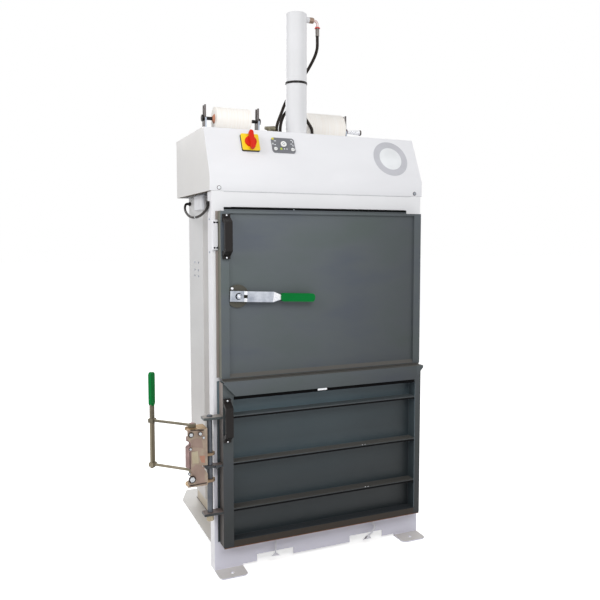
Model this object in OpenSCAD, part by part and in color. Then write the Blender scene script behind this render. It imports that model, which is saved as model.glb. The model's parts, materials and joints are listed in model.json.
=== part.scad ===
// Vertical waste compactor (baler): white sheet-steel body, two grey side-hung doors,
// one standing hydraulic cylinder, strapping rolls on top, ratchet lock on the lower door.
// Origin: centre of the two front anchor holes, on the floor. +X right, +Y to the back, +Z up.

/* [Body frame] */
// Width of the white front frame
frame_w = 960; // [900:10:1020]
// Distance from the front anchor holes back to the front plane of the frame
foot_hole_y = 43; // [35:1:50]
// Sheet thickness of the front frame
frame_t = 4; // [3:0.5:6]
// Width of each front post
post_w = 80; // [70:1:84]
// Depth of the folded side of each post
post_d = 57; // [40:1:80]
// Height of the chamber floor above the ground
floor_z = 105; // [95:1:110]
// Thickness of the base plate that is the chamber floor
floor_t = 6; // [4:1:10]
// Height of the upper edge of the feed mouth
mouth_z = 1472; // [1440:1:1500]
// Height of the lower edge of the top cover
cover_z = 1534; // [1520:1:1545]
// Length of the folded feet in front of the frame
foot_l = 80; // [70:1:100]
// Width of each folded foot
foot_w = 120; // [90:1:130]
// Thickness of the folded feet
foot_t = 5; // [4:0.5:8]
// Distance of the front anchor holes from the frame's sides
foot_hole_in = 61; // [50:1:70]
// Diameter of the anchor holes
foot_hole_d = 14; // [11:1:18]
// Height of the step beside each foot
step_h = 10; // [6:1:20]
// Height of the two cut-outs under the frame
notch_h = 39; // [25:1:60]
// Inner end of each cut-out, from the middle
notch_in = 135; // [100:1:160]
// Outer end of each cut-out, from the middle
notch_out = 298; // [260:1:330]

/* [Press chamber] */
// Distance from the frame's side to the clear width of the chamber
chamber_in = 76; // [70:1:90]
// Thickness of the side and rear walls
wall_t = 6; // [4:1:8]
// Depth of the chamber behind the front plane
chamber_d = 530; // [500:1:545]
// Height of the wall tops
wall_top = 1588; // [1570:1:1594]
// Depth of the base plate behind the front plane
base_d = 655; // [620:1:700]
// Width of the strap grooves in floor and platen
groove_w = 26; // [16:1:40]
// Distance of the strap grooves from the middle
groove_x = 222; // [180:1:260]
// Side channel: how far it stands out from the wall
channel_x = 27; // [15:1:34]
// Side channel: distance of its front face from the front plane
channel_y = 291; // [260:1:330]
// Side channel: lower end
channel_z0 = 190; // [150:1:400]
// Side channel: upper end
channel_z1 = 1533; // [1450:1:1533]

/* [Top cover] */
// How far the cover stands out past the frame on each side
cover_over = 7; // [4:1:14]
// Depth of the cover
cover_d = 550; // [540:1:600]
// Sheet thickness of the cover
cover_t = 2.5; // [2:0.5:4]
// Height of the fold between upright and sloping front
fold_z = 1598; // [1590:1:1620]
// Height of the cover top
top_z = 1792; // [1760:1:1830]
// How far the sloping front leans back
lean = 86; // [60:1:120]

/* [Hydraulic cylinder] */
// Outer diameter of the cylinder tube
cyl_d = 95; // [90:1:105]
// Inner diameter of the cylinder tube
bore_d = 80; // [70:1:84]
// Top of the cylinder
cyl_top = 2349; // [2250:1:2450]
// Distance of the cylinder axis from the front plane
cyl_y = 285; // [275:1:295]
// Piston rod diameter
rod_d = 50; // [40:1:56]
// Running clearance of rod and piston, on the radius
run_gap = 0.08; // [0.02:0.01:0.1]
// Height of the black ring on the tube
band_z = 2038; // [1900:1:2200]
// Hose diameter
hose_d = 14; // [12:1:18]
// Height of the press platen
platen_h = 54; // [40:1:58]
// Height of the platen's lower face at rest
platen_z = 1474; // [1473:1:1476]

/* [Doors] */
// Width of the frame that shows beside both doors
post_show = 22.5; // [20:0.5:30]
// How far the rear sheet of each door stands out on the latch side
door_lip = 9; // [4:1:12]
// Gap between doors and frame
door_gap = 3; // [2:0.5:5]
// Front plane of the upper door, in front of the frame
upper_front = 42; // [36:1:50]
// Front plane of the lower door, in front of the frame
lower_front = 54; // [48:1:60]
// Lower edge of the upper door
upper_z0 = 796; // [794:1:800]
// Upper edge of the upper door
upper_z1 = 1455; // [1445:1:1465]
// Lower edge of the lower door
lower_z0 = 112; // [110:1:118]
// Upper edge of the lower door
lower_z1 = 781; // [776:1:784]
// Sheet thickness of the doors
door_t = 3; // [2:0.5:4]
// Width of the upper door's border
rim_w = 35; // [25:1:40]
// Depth of the upper door's sunk panel
sunk = 9; // [5:1:12]
// Left border of the lower door
stile_l = 43; // [35:1:50]
// Right border of the lower door
stile_r = 30; // [25:1:40]
// Thickness of the lower door's cross ribs
rib_t = 9; // [6:1:14]
// Front plane of the loading chute, in front of the frame
chute_front = 75; // [70:1:85]
// Upper face of the loading chute
chute_z1 = 790; // [787:1:792]
// Lower edge of the loading chute
chute_z0 = 730; // [715:1:745]
// Hinge axis: distance inside the frame's side
hinge_in = 13; // [12:1:14]
// Hinge axis: distance in front of the frame
hinge_y = 10; // [10:0.5:12]
// Diameter of the hinge barrels
barrel_d = 14; // [12:1:14]
// Diameter of the hinge pins
pin_d = 8; // [6:0.5:9]
// Height of one hinge barrel half
barrel_h = 45; // [30:1:60]

/* [Door latch] */
// Latch axis: distance inside the frame's side
latch_in = 92; // [88:1:96]
// Latch axis: height
latch_z = 1121; // [1100:1:1150]
// Diameter of the dark disc behind the lever
disc_d = 91; // [80:1:100]
// Height of the flat lever
latch_h = 42; // [38:1:50]
// How far the lever droops when the door is shut, in degrees
latch_droop = 2.6; // [0:0.2:5]
// Length of the latch grip
latch_grip_l = 147; // [120:1:160]
// Diameter of the keeper stud on the post
keeper_d = 14; // [10:1:16]
// Distance from latch axis to keeper stud
keeper_r = 31; // [28:1:33]

/* [Ratchet lock] */
// Lock rod: distance outside the frame's side
lock_out = 25; // [20:1:30]
// Lock rod: distance in front of the frame
lock_y = 30; // [26:1:34]
// Lock rod diameter
lock_d = 22; // [18:1:26]
// Upper end of the lock rod
lock_z1 = 650; // [630:1:670]
// Lower end of the lock rod
lock_z0 = 256; // [240:1:280]
// Distance from lock rod to ratchet spindle
spindle_r = 70; // [64:1:78]
// Diameter of the ratchet spindle
spindle_d = 18; // [14:1:20]
// Teeth of the ratchet wheel
teeth = 12; // [8:1:16]
// Length of the lever arms
arm_l = 185; // [150:1:195]
// Diameter of the lever arms
arm_d = 11; // [9:1:14]
// Height of the upper lever arm
arm_z1 = 623; // [622:1:630]
// Height of the lower lever arm
arm_z0 = 444; // [438:1:450]
// Angle of the lever arms behind the left direction
arm_a = 46; // [25:1:50]
// Top of the green grip of the lever
grip_top = 818; // [780:1:840]
// Length of the green grip of the lever
grip_l = 136; // [110:1:150]

/* [Controls] */
// Main switch: distance left of the middle
switch_x = 301; // [290:1:310]
// Main switch: distance up the sloping front
switch_s = 147; // [140:1:158]
// Side of the main switch plate
switch_w = 75; // [66:1:80]
// Button panel: distance left of the middle
panel_x = 155; // [145:1:165]
// Button panel: distance up the sloping front
panel_s = 145; // [135:1:160]
// Button panel width
panel_w = 102; // [90:1:110]
// Button panel height
panel_h = 70; // [60:1:80]
// Large button diameter
start_d = 27; // [22:1:32]
// Small button diameter
small_d = 16; // [12:1:20]
// Clearance around each button stem
stem_gap = 0.4; // [0.3:0.1:0.8]

/* [Strapping rolls] */
// Spindle diameter
roll_pin_d = 14; // [10:1:16]
// Length of the front roll
front_roll_l = 150; // [120:1:200]
// Length of the rear roll
rear_roll_l = 200; // [140:1:210]
// Diameter of the front roll
front_roll_d = 98; // [90:1:106]
// Diameter of the rear roll
rear_roll_d = 152; // [120:1:154]
// Gap between the front roll and its brackets
front_side = 38; // [20:1:50]
// Gap between the rear roll and its brackets
rear_side = 26; // [20:1:30]
// Left end of the front roll, from the middle
front_roll_x = -409; // [-420:1:-400]
// Left end of the rear roll, from the middle
rear_roll_x = 89; // [85:1:110]
// Front roll axis behind the front plane
front_roll_y = 200; // [190:1:215]
// Rear roll axis behind the front plane
rear_roll_y = 430; // [425:1:440]
// Height of the front roll axis above the cover
front_roll_z = 54; // [54:1:60]
// Height of the rear roll axis above the cover
rear_roll_z = 78; // [78:1:84]
// Inner diameter of the cardboard core
core_d = 40; // [30:1:50]
// Height of the front brackets' prongs above the axis
front_prong_h = 54; // [30:1:70]
// Height of the rear brackets' prongs above the axis
rear_prong_h = 74; // [30:1:80]

/* [Hidden] */
$fn = 48;
half_w = frame_w / 2;
half_c = half_w - chamber_in;
half_d = half_w - post_show;
hinge_x = half_w - hinge_in;
latch_x = half_w - latch_in;
lock_x = half_w + lock_out;
foot_hole_gap = frame_w - 2 * foot_hole_in;
cover_x = half_w + cover_over;
slope_l = sqrt(lean * lean + (top_z - fold_z) * (top_z - fold_z));
slope_a = atan2(top_z - fold_z, lean);
wall_out = half_c + wall_t;
mouth_x = half_w - post_w;
seam = 3;
seam_x = half_w - 49;
base_x = half_w;
corner_x = 45;
corner_y = 110;
stroke = 600;
flange_d = 170;
flange_h = 22;
cross_t = 12;
cross_z = wall_top + cross_t;
gland_h = 50;
lower_back = lower_front - door_gap;
rib_z = [641, 452, 264];
upper_hinge_z = [900, 1300];
lower_hinge_z = [200, 640];
handle_l = 174;
handle_w = 30;
lower_handle_x = 1 - half_d + handle_w / 2;
upper_handle_x = lower_handle_x + 5.5;
handle_h = 42;
handle_pad = 12;
upper_handle_z = 1355;
lower_handle_z = 633;
ear_z = [392, 498];
ear_t = 10;
house_t = 7;
house_z0 = 388;
house_z1 = 607;
house_y0 = -34;
house_y1 = 34;
cheek_t = 6;
wheel_r = 25;
wheel_z = 562;
wheel_t = 16;
drum_r = 27;
pawl_pin = [36, -10];
pawl_pin_d = 8;
axle_gap = 0.08;
white = "#ecedf1";
wall_grey = "#d6d7d8";
door_grey = "#5b6368";
zinc = "#c9ccd0";
gold = "#b7a684";
grip_green = "#00843c";
black = "#232323";
rubber_black = "#1b1b1b";

// ---- helpers: every place below is measured from the front plane of the frame ----
module at_frame() {
    translate([0, foot_hole_y, 0]) children();
}
// A box from two corners
module block(a, b) {
    translate(a) cube([b[0] - a[0], b[1] - a[1], b[2] - a[2]]);
}
// A front-view outline (x, z) given depth from y0 back to y1
module from_front(y0, y1) {
    translate([0, y1, 0]) rotate([90, 0, 0]) linear_extrude(y1 - y0) children();
}
// A side-view outline (y, z) given width from x0 to x1
module from_side(x0, x1) {
    translate([x0, 0, 0]) rotate([90, 0, 90]) linear_extrude(x1 - x0) children();
}
// A place on the sloping front: x across, s up the slope, local +Z out of the sheet
module on_slope(x, s) {
    translate([0, 0, fold_z]) rotate([slope_a, 0, 0]) translate([x, s, 0]) children();
}
// A rectangle with round corners, centred
module round_rect(w, h, r) {
    square([w - 2 * r, h], center = true);
    square([w, h - 2 * r], center = true);
    for (sx = [-1, 1], sy = [-1, 1]) translate([sx * (w / 2 - r), sy * (h / 2 - r)]) circle(r);
}
// A hexagon prism, width across flats
module hex(flats, h) {
    cylinder(d = flats / cos(30), h = h, $fn = 6);
}
// A tube along points: rings of sides points, one at each point of the route
function unit(v) = v / norm(v);
function tangent(p, i) = unit(p[min(i + 1, len(p) - 1)] - p[max(i - 1, 0)]);
function side_dir(t) = unit(cross(t, abs(t[0]) > 0.9 ? [0, 1, 0] : [1, 0, 0]));
function ring(p, i, r, n) =
    let (t = tangent(p, i), u = side_dir(t), v = cross(t, u))
    [for (k = [0 : n - 1]) p[i] + r * (cos(k * 360 / n) * u + sin(k * 360 / n) * v)];
module tube_along(p, r, n) {
    m = len(p);
    points = [for (i = [0 : m - 1]) each ring(p, i, r, n)];
    walls = [for (i = [0 : m - 2], k = [0 : n - 1])
        [i * n + k, i * n + (k + 1) % n, (i + 1) * n + (k + 1) % n, (i + 1) * n + k]];
    start = [for (k = [0 : n - 1]) n - 1 - k];
    end = [for (k = [0 : n - 1]) (m - 1) * n + k];
    polyhedron(points, concat([start], walls, [end]), convexity = 4);
}
// Points of a smooth curve through the route, steps between each two (Catmull-Rom)
function knot(p, i) = p[min(max(i, 0), len(p) - 1)];
function spline_at(a, b, c, d, t) =
    0.5 * (2 * b + (c - a) * t + (2 * a - 5 * b + 4 * c - d) * t * t
    + (3 * b - a - 3 * c + d) * t * t * t);
function spline(p, steps) = concat(
    [for (i = [0 : len(p) - 2], k = [0 : steps - 1])
        spline_at(knot(p, i - 1), p[i], p[i + 1], knot(p, i + 2), k / steps)],
    [p[len(p) - 1]]);

// ---- body frame ----
module frame_outline() {
    difference() {
        translate([-half_w, 0]) square([frame_w, cover_z - 0.3]);
        translate([-mouth_x, floor_z]) square([2 * mouth_x, mouth_z - floor_z]);
        translate([-seam_x, cover_z - seam]) square([2 * seam_x, seam + 1]);
        for (s = [-1, 1]) {
            translate([s > 0 ? notch_out : -half_w + foot_w, -1])
                square([half_w - foot_w - notch_out, step_h + 1]);
            translate([s > 0 ? notch_in : -notch_out, -1])
                square([notch_out - notch_in, notch_h + 1]);
        }
        translate([-notch_in, -1]) square([2 * notch_in, step_h + 2.5]);
    }
}
module foot(s) {
    r = 22;
    difference() {
        translate([s * (half_w - foot_w / 2), -foot_l / 2 + frame_t / 2, 0])
            linear_extrude(foot_t) {
                square([foot_w - 2 * r, foot_l + frame_t], center = true);
                translate([0, r / 2]) square([foot_w, foot_l + frame_t - r], center = true);
                for (e = [-1, 1])
                    translate([e * (foot_w / 2 - r), -(foot_l + frame_t) / 2 + r]) circle(r);
            }
        translate([s * foot_hole_gap / 2, -foot_hole_y, -1])
            cylinder(d = foot_hole_d, h = foot_t + 2);
    }
}
module front_frame() {
    color(white) at_frame() {
        from_front(0, frame_t) frame_outline();
        for (s = [-1, 1]) {
            foot(s);
            block([s > 0 ? half_w - frame_t : -half_w, 0, 0],
                [s > 0 ? half_w : -half_w + frame_t, post_d, cover_z - 0.3]);
        }
    }
}
module side_wall(s) {
    color(wall_grey) at_frame()
        block([s > 0 ? half_c : -wall_out, frame_t, floor_z],
            [s > 0 ? wall_out : -half_c, chamber_d, wall_top]);
}
module side_wall_left() { side_wall(-1); }
module side_wall_right() { side_wall(1); }
module rear_wall() {
    color(wall_grey) at_frame()
        block([-wall_out, chamber_d, floor_z], [wall_out, chamber_d + wall_t, wall_top]);
}
module base_plate() {
    gap = 0.3;
    color(wall_grey) at_frame() difference() {
        translate([0, 0, floor_z - floor_t]) linear_extrude(floor_t) polygon([
            [-half_w + frame_t + gap, frame_t], [half_w - frame_t - gap, frame_t],
            [half_w - frame_t - gap, post_d + gap], [base_x, post_d + gap],
            [base_x, base_d - corner_y], [base_x - corner_x, base_d],
            [-base_x + corner_x, base_d], [-base_x, base_d - corner_y],
            [-base_x, post_d + gap], [-half_w + frame_t + gap, post_d + gap]]);
        for (s = [-1, 1])
            block([s * groove_x - groove_w / 2, 30, floor_z - floor_t - 1],
                [s * groove_x + groove_w / 2, chamber_d - 20, floor_z + 1]);
    }
}
rail_in = 210;
rail_x = half_w - rail_in;
rail_w = 50;
rail_h = notch_h + 3;
rear_foot_y = base_d - 27;
module base_rails() {
    color(wall_grey) at_frame() {
        for (s = [-1, 1]) {
            difference() {
                block([s * rail_x - rail_w / 2, frame_t, rail_h],
                    [s * rail_x + rail_w / 2, base_d - 8, floor_z - floor_t]);
                block([s * rail_x - rail_w / 2 + 4, frame_t - 1, rail_h - 4],
                    [s * rail_x + rail_w / 2 - 4, base_d, floor_z - floor_t - 5]);
            }
            difference() {
                union() {
                    block([s * rail_x - rail_w, rear_foot_y - 50, 0],
                        [s * rail_x + rail_w, rear_foot_y + 27, foot_t]);
                    block([s * rail_x - rail_w / 2, rear_foot_y - 50, foot_t],
                        [s * rail_x + rail_w / 2, rear_foot_y - 44, rail_h]);
                    block([s * rail_x - rail_w / 2, rear_foot_y + 13, foot_t],
                        [s * rail_x + rail_w / 2, rear_foot_y + 19, rail_h]);
                }
                translate([s * (rail_x + 37), rear_foot_y - 10, -1])
                    cylinder(d = foot_hole_d, h = foot_t + 2);
            }
        }
    }
}
module side_channel(s) {
    t = 3;
    color(wall_grey) at_frame() difference() {
        block([s > 0 ? wall_out : -wall_out - channel_x, channel_y, channel_z0],
            [s > 0 ? wall_out + channel_x : -wall_out, chamber_d, channel_z1]);
        block([s > 0 ? wall_out - 1 : -wall_out - channel_x + t, channel_y + t, channel_z0 - 1],
            [s > 0 ? wall_out + channel_x - t : -wall_out + 1, chamber_d - t, channel_z1 - t]);
    }
}
module side_channel_left() { side_channel(-1); }
module side_channel_right() { side_channel(1); }

// ---- top: crosshead, cover, cylinder, hydraulics ----
cross_y0 = 120;
cross_y1 = 450;
web_t = 8;
module crosshead() {
    color("#8d9296") at_frame() difference() {
        union() {
            block([-wall_out, cross_y0, wall_top], [wall_out, cross_y1, cross_z]);
            for (y = [cross_y0 + 40, cross_y1 - 40 - web_t])
                block([-half_c, y, cover_z + 2], [half_c, y + web_t, wall_top]);
        }
        translate([0, cyl_y, cover_z]) cylinder(d = bore_d - 10, h = 100);
    }
}
module cover_side(inset) {
    polygon([[inset, cover_z + (inset > 0 ? -1 : 0)], [inset, fold_z - inset * 0.2],
        [lean + inset * 0.65, top_z - inset], [cover_d - inset, top_z - inset],
        [cover_d - inset, cover_z + (inset > 0 ? -1 : 0)]]);
}
module top_cover() {
    lip = 22;
    color(white) at_frame() difference() {
        union() {
            difference() {
                from_side(-cover_x, cover_x) cover_side(0);
                from_side(-cover_x + cover_t, cover_x - cover_t) cover_side(cover_t);
            }
            for (s = [-1, 1])
                block([s > 0 ? cover_x - lip : -cover_x, cover_t, cover_z],
                    [s > 0 ? cover_x : -cover_x + lip, cover_d - cover_t, cover_z + cover_t]);
        }
        translate([0, cyl_y, top_z - 20]) cylinder(d = cyl_d + 6, h = 40);
        on_slope(-switch_x, switch_s) translate([0, 0, -20]) cylinder(d = 26, h = 40);
        on_slope(-panel_x, panel_s) for (b = button_places)
            translate([b[0], b[1], -20]) cylinder(d = b[2] - 4 + 2 * stem_gap, h = 40);
        for (p = bulkheads) translate([p[0], p[1], top_z - 20]) cylinder(d = 19, h = 40);
    }
}
module cylinder_tube() {
    wall_end = 14;
    rim = 2;
    color(white) at_frame() translate([0, cyl_y, 0]) difference() {
        union() {
            translate([0, 0, cross_z]) cylinder(d = flange_d, h = flange_h);
            translate([0, 0, cross_z])
                cylinder(d = cyl_d, h = cyl_top - rim - cross_z, $fn = 96);
            translate([0, 0, cyl_top - rim])
                cylinder(d1 = cyl_d, d2 = cyl_d - 2 * rim, h = rim, $fn = 96);
            translate([0, 0, port_z]) rotate([0, 90, 0]) cylinder(d = 26, h = port_x);
        }
        translate([0, 0, cross_z - 1]) cylinder(d = bore_d, h = cyl_top - wall_end - 12 - cross_z);
        for (a = [45 : 90 : 315]) rotate(a) translate([flange_d / 2 - 18, 0, cross_z - 1])
            cylinder(d = 13, h = flange_h + 2);
    }
}
module cylinder_band() {
    color(black) at_frame() translate([0, cyl_y, band_z]) difference() {
        cylinder(d = cyl_d + 4, h = 10, $fn = 96);
        translate([0, 0, -1]) cylinder(d = cyl_d + 0.2, h = 12, $fn = 96);
    }
}
module cylinder_gland() {
    color("#6d7073") at_frame() translate([0, cyl_y, cross_z]) difference() {
        cylinder(d = bore_d - 0.2, h = gland_h);
        translate([0, 0, -1]) cylinder(d = rod_d + 2 * run_gap, h = gland_h + 2);
    }
}
piston_h = 60;
piston_top = cyl_top - 30;
module piston_rod() {
    foot_h = 8;
    rod_foot = platen_z + platen_h;
    color(zinc) at_frame() translate([0, cyl_y, 0]) {
        translate([0, 0, rod_foot]) cylinder(d = 66, h = foot_h);
        translate([0, 0, rod_foot]) cylinder(d = rod_d, h = piston_top - rod_foot);
        translate([0, 0, piston_top - piston_h])
            cylinder(d = bore_d - 2 * run_gap, h = piston_h);
    }
}
module press_platen() {
    gap = 5;
    y0 = frame_t + 8;
    y1 = chamber_d - 8;
    x = half_c - gap;
    sole = 12;
    rib = 8;
    color("#50565a") at_frame() {
        difference() {
            block([-x, y0, platen_z], [x, y1, platen_z + sole]);
            for (s = [-1, 1])
                block([s * groove_x - groove_w / 2, y0 - 1, platen_z - 1],
                    [s * groove_x + groove_w / 2, y1 + 1, platen_z + sole - 4]);
        }
        for (fx = [-x, -x * 0.5, -70, 70 - rib, x * 0.5 - rib, x - rib])
            block([fx, y0, platen_z + sole], [fx + rib, y1, platen_z + platen_h - 8]);
        for (fy = [y0, cyl_y - 70, cyl_y + 70 - rib, y1 - rib])
            block([-x, fy, platen_z + sole], [x, fy + rib, platen_z + platen_h - 8]);
        block([-70, cyl_y - 70, platen_z + platen_h - 8], [70, cyl_y + 70, platen_z + platen_h]);
    }
}

// Hoses: the port on the tube, the places where they enter the cover, and the routes between.
// The first and last three points of a route lie on the axis of their fitting.
port_z = cyl_top - 18;
port_x = cyl_d / 2 + 15;
elbow_r = 15;
hose_port_x = port_x + 27 + elbow_r;
ferrule_top = port_z - elbow_r - 16;
ferrule_end = ferrule_top - 35;
bulkheads = [[-89, 300], [-58, 335], [101, 334]];
fitting_h = 38;
hose_z = top_z + fitting_h;
// Height on a hose as a part of the fall from the ferrule to the bulkheads
function fall(k) = hose_z + k * (ferrule_end - hose_z);
pressure_route = [
    [hose_port_x, cyl_y, ferrule_end], [hose_port_x, cyl_y, ferrule_end - 8],
    [hose_port_x, cyl_y, ferrule_end - 16], [106, 290, fall(0.88)], [100, 306, fall(0.795)],
    [80, 336, fall(0.675)], [50, 352, fall(0.565)], [16, 356, fall(0.46)],
    [-12, 352, fall(0.37)], [-31, 344, fall(0.305)], [-60, 323, fall(0.18)],
    [-80, 307, fall(0.095)], [-89, 300, hose_z + 16], [-89, 300, hose_z + 8],
    [-89, 300, hose_z]];
return_route = [
    [-58, 335, hose_z], [-58, 335, hose_z + 8], [-58, 335, hose_z + 16],
    [-55, 337, fall(0.08)], [-46, 342, fall(0.14)], [-28, 348, fall(0.21)],
    [2, 352, fall(0.25)], [38, 352, fall(0.24)], [66, 348, fall(0.19)],
    [86, 341, fall(0.12)], [98, 336, fall(0.07)], [101, 334, hose_z + 16],
    [101, 334, hose_z + 8], [101, 334, hose_z]];
module pressure_hose() {
    color(rubber_black) at_frame() tube_along(spline(pressure_route, 3), hose_d / 2, 12);
}
module return_hose() {
    color(rubber_black) at_frame() tube_along(spline(return_route, 3), hose_d / 2, 12);
}
module bulkhead() {
    nut_h = 12;
    translate([0, 0, -8]) cylinder(d = 18, h = 8);
    hex(27, nut_h);
    translate([0, 0, nut_h]) cylinder(d = hose_d + 4, h = fitting_h - nut_h);
}
// Port nut, elbow, ring and ferrule beside the top of the tube
module port_elbow() {
    nut_l = 21;
    pipe_d = 12;
    ring_h = 6;
    translate([port_x + 0.1, cyl_y, port_z]) rotate([0, 90, 0]) {
        hex(24, nut_l);
        cylinder(d = pipe_d, h = hose_port_x - elbow_r - port_x);
    }
    translate([hose_port_x - elbow_r, cyl_y, port_z - elbow_r]) rotate([90, 0, 0])
        rotate_extrude(angle = 90) translate([elbow_r, 0]) circle(d = pipe_d);
    translate([hose_port_x, cyl_y, ferrule_top])
        cylinder(d = pipe_d, h = port_z - elbow_r - ferrule_top + 0.1);
    translate([hose_port_x, cyl_y, ferrule_top]) cylinder(d = hose_d + 6, h = ring_h);
    translate([hose_port_x, cyl_y, ferrule_end])
        cylinder(d = hose_d + 4, h = ferrule_top - ferrule_end);
}
// The breather that lies beside the hoses on its own short post
module breather() {
    post = 20;
    axis_h = 50;
    neck = 14;
    mouth = 24;
    len = 46;
    x = bulkheads[0][0] - 40;
    translate([x, bulkheads[0][1] - 10, top_z]) {
        cylinder(d = post, h = axis_h);
        translate([-post, 0, axis_h - 4]) rotate([0, 90, 0]) cylinder(d1 = neck, d2 = mouth, h = len);
    }
}
module hose_fittings() {
    color(zinc) at_frame() {
        for (p = bulkheads) translate([p[0], p[1], top_z]) bulkhead();
        port_elbow();
        breather();
    }
}
module oil_tank() {
    tank_w = 278;
    tank_d = 200;
    x0 = 14 - half_c;
    x1 = x0 + tank_w;
    y0 = cross_y1 - tank_d;
    lid = 6;
    lid_over = 8;
    lid_z = top_z - 60;
    cap_d = 50;
    cap_h = 14;
    color("#5f6c74") at_frame() {
        block([x0, y0, cross_z], [x1, cross_y1, lid_z]);
        block([x0 - lid_over, y0 - lid_over, lid_z],
            [x1 + lid_over, cross_y1 + lid_over, lid_z + lid]);
        translate([(x0 + x1) / 2, (y0 + cross_y1) / 2, lid_z + lid]) cylinder(d = cap_d, h = cap_h);
    }
}
// Pump block, bell housing and a finned motor on its foot
module pump_motor() {
    motor_l = 200;
    motor_d = 128;
    fins = 10;
    fin_step = 18;
    fin_h = 7;
    fin_t = 5;
    foot_y = 55;
    pump = 45;
    bell = 40;
    cx = cyl_d + 35;
    cy = cyl_y + 45;
    cz = cross_z + motor_d / 2 + 18;
    color("#39586e") at_frame() {
        translate([cx + bell, cy, cz]) rotate([0, 90, 0]) {
            cylinder(d = motor_d, h = motor_l);
            for (k = [1 : fins]) translate([0, 0, k * fin_step])
                cylinder(d = motor_d + 2 * fin_h, h = fin_t);
        }
        block([cx + bell + 20, cy - foot_y, cross_z], [cx + motor_l, cy + foot_y, cz - pump]);
        block([cx, cy - pump, cz - pump], [cx + bell, cy + pump, cz + pump]);
        block([cx + 4, cy - pump + 15, cross_z], [cx + bell - 4, cy + pump - 15, cz - pump]);
    }
}

// ---- controls on the sloping front ----
button_places = [[0, 4, start_d], [-38, -20, small_d], [38, -20, small_d]];
panel_t = 4;
plate_t = 4;
switch_base_t = 9;
module switch_base() {
    color(black) at_frame() on_slope(-switch_x, switch_s) difference() {
        linear_extrude(switch_base_t) round_rect(switch_w + 1, switch_w + 1, 6);
        translate([0, 0, -1]) cylinder(d = 18, h = switch_base_t + 2);
    }
}
module switch_plate() {
    color("#f4cf12") at_frame() on_slope(-switch_x, switch_s)
        translate([0, 0, switch_base_t]) linear_extrude(plate_t) difference() {
            round_rect(switch_w, switch_w, 6);
            circle(d = 18);
        }
}
module switch_handle() {
    lift = 0.5;
    color("#d8321c") at_frame() on_slope(-switch_x, switch_s) {
        translate([0, 0, -12]) cylinder(d = 14, h = switch_base_t + plate_t + lift + 12);
        translate([0, 0, switch_base_t + plate_t + lift]) {
            cylinder(d1 = 50, d2 = 46, h = 10);
            translate([0, 0, 10]) linear_extrude(16) {
                square([18, 64], center = true);
                for (e = [-32, 32]) translate([0, e]) circle(d = 18);
            }
        }
    }
}
module panel_plate() {
    color("#7b7d80") at_frame() on_slope(-panel_x, panel_s) linear_extrude(panel_t) difference() {
        round_rect(panel_w, panel_h, 11);
        for (b = button_places) translate([b[0], b[1]]) circle(d = b[2] - 4 + 2 * stem_gap);
    }
}
module button(i) {
    b = button_places[i];
    travel = 2.5;
    color("#f3f3f1") at_frame() on_slope(-panel_x, panel_s) translate([b[0], b[1], 0]) {
        translate([0, 0, -14]) cylinder(d = b[2] - 4, h = 14 + panel_t + travel + 0.4);
        translate([0, 0, panel_t + travel + 0.4]) cylinder(d1 = b[2], d2 = b[2] - 2, h = 3);
    }
}
module start_button() { button(0); }
module left_button() { button(1); }
module right_button() { button(2); }

// ---- door switch and its lead ----
switch_z0 = 1303;
switch_z1 = 1418;
module door_switch() {
    color("#f1f1f3") at_frame() difference() {
        block([-half_w + 2, -14, switch_z0], [-half_d - 2.5, 0, switch_z1]);
        for (z = [switch_z0 + 8, switch_z1 - 8]) translate([-half_w + 11, 1, z])
            rotate([90, 0, 0]) cylinder(d = 5, h = 20);
    }
}
// The lead comes out of the post's side, hangs back along the machine and enters the channel
lead_d = 10.5;
gland_d = 13;
gland_l = 8;
lead_x = -half_w - gland_d / 2;
lead_y = 30;
lead_z = 1486;
gland_rear = [-wall_out - channel_x, 498, 1506];
lead_end = gland_rear[0] - gland_l;
lead_route = [
    [lead_x, lead_y, lead_z], [lead_x, lead_y, lead_z - 4], [lead_x, lead_y, lead_z - 8],
    [lead_x - 1, 36, 1468], [lead_x - 2, 52, 1459], [lead_x - 2, 84, 1451],
    [lead_x - 3, 133, 1441], [lead_x - 3, 221, 1436], [lead_x + 2, 331, 1444],
    [lead_x + 9, 422, 1465], [lead_end - 24, 476, 1485], [lead_end - 16, 494, 1502],
    [lead_end - 8, 498, 1506], [lead_end - 4, 498, 1506], [lead_end, 498, 1506]];
module switch_cable() {
    color(rubber_black) at_frame() tube_along(spline(lead_route, 3), lead_d / 2, 8);
}
module cable_glands() {
    color(black) at_frame() {
        translate([lead_x, lead_y, lead_z]) cylinder(d = gland_d, h = gland_l);
        translate(gland_rear) rotate([0, -90, 0]) hex(17, gland_l);
    }
}
// The rounded trunking that carries the leads from the channel up into the cover
module cable_duct() {
    d = 15;
    y0 = channel_y - 29;
    y1 = y0 + 120;
    r = 10;
    z0 = cover_z - 62;
    color(white) at_frame() translate([-wall_out - channel_x - d, 0, z0])
        linear_extrude(cover_z - z0) intersection() {
            translate([0, y0]) square([d, y1 - y0]);
            translate([d, (y0 + y1) / 2]) round_rect(2 * d, y1 - y0, r);
        }
}
// The black strip that closes the slit above the upper door
module door_seal() {
    seal_t = 2.5;
    right = half_w - 74;
    color(rubber_black) at_frame()
        block([-seam_x, -seal_t, upper_z1 + 2], [right, 0, mouth_z - 1]);
}

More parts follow.
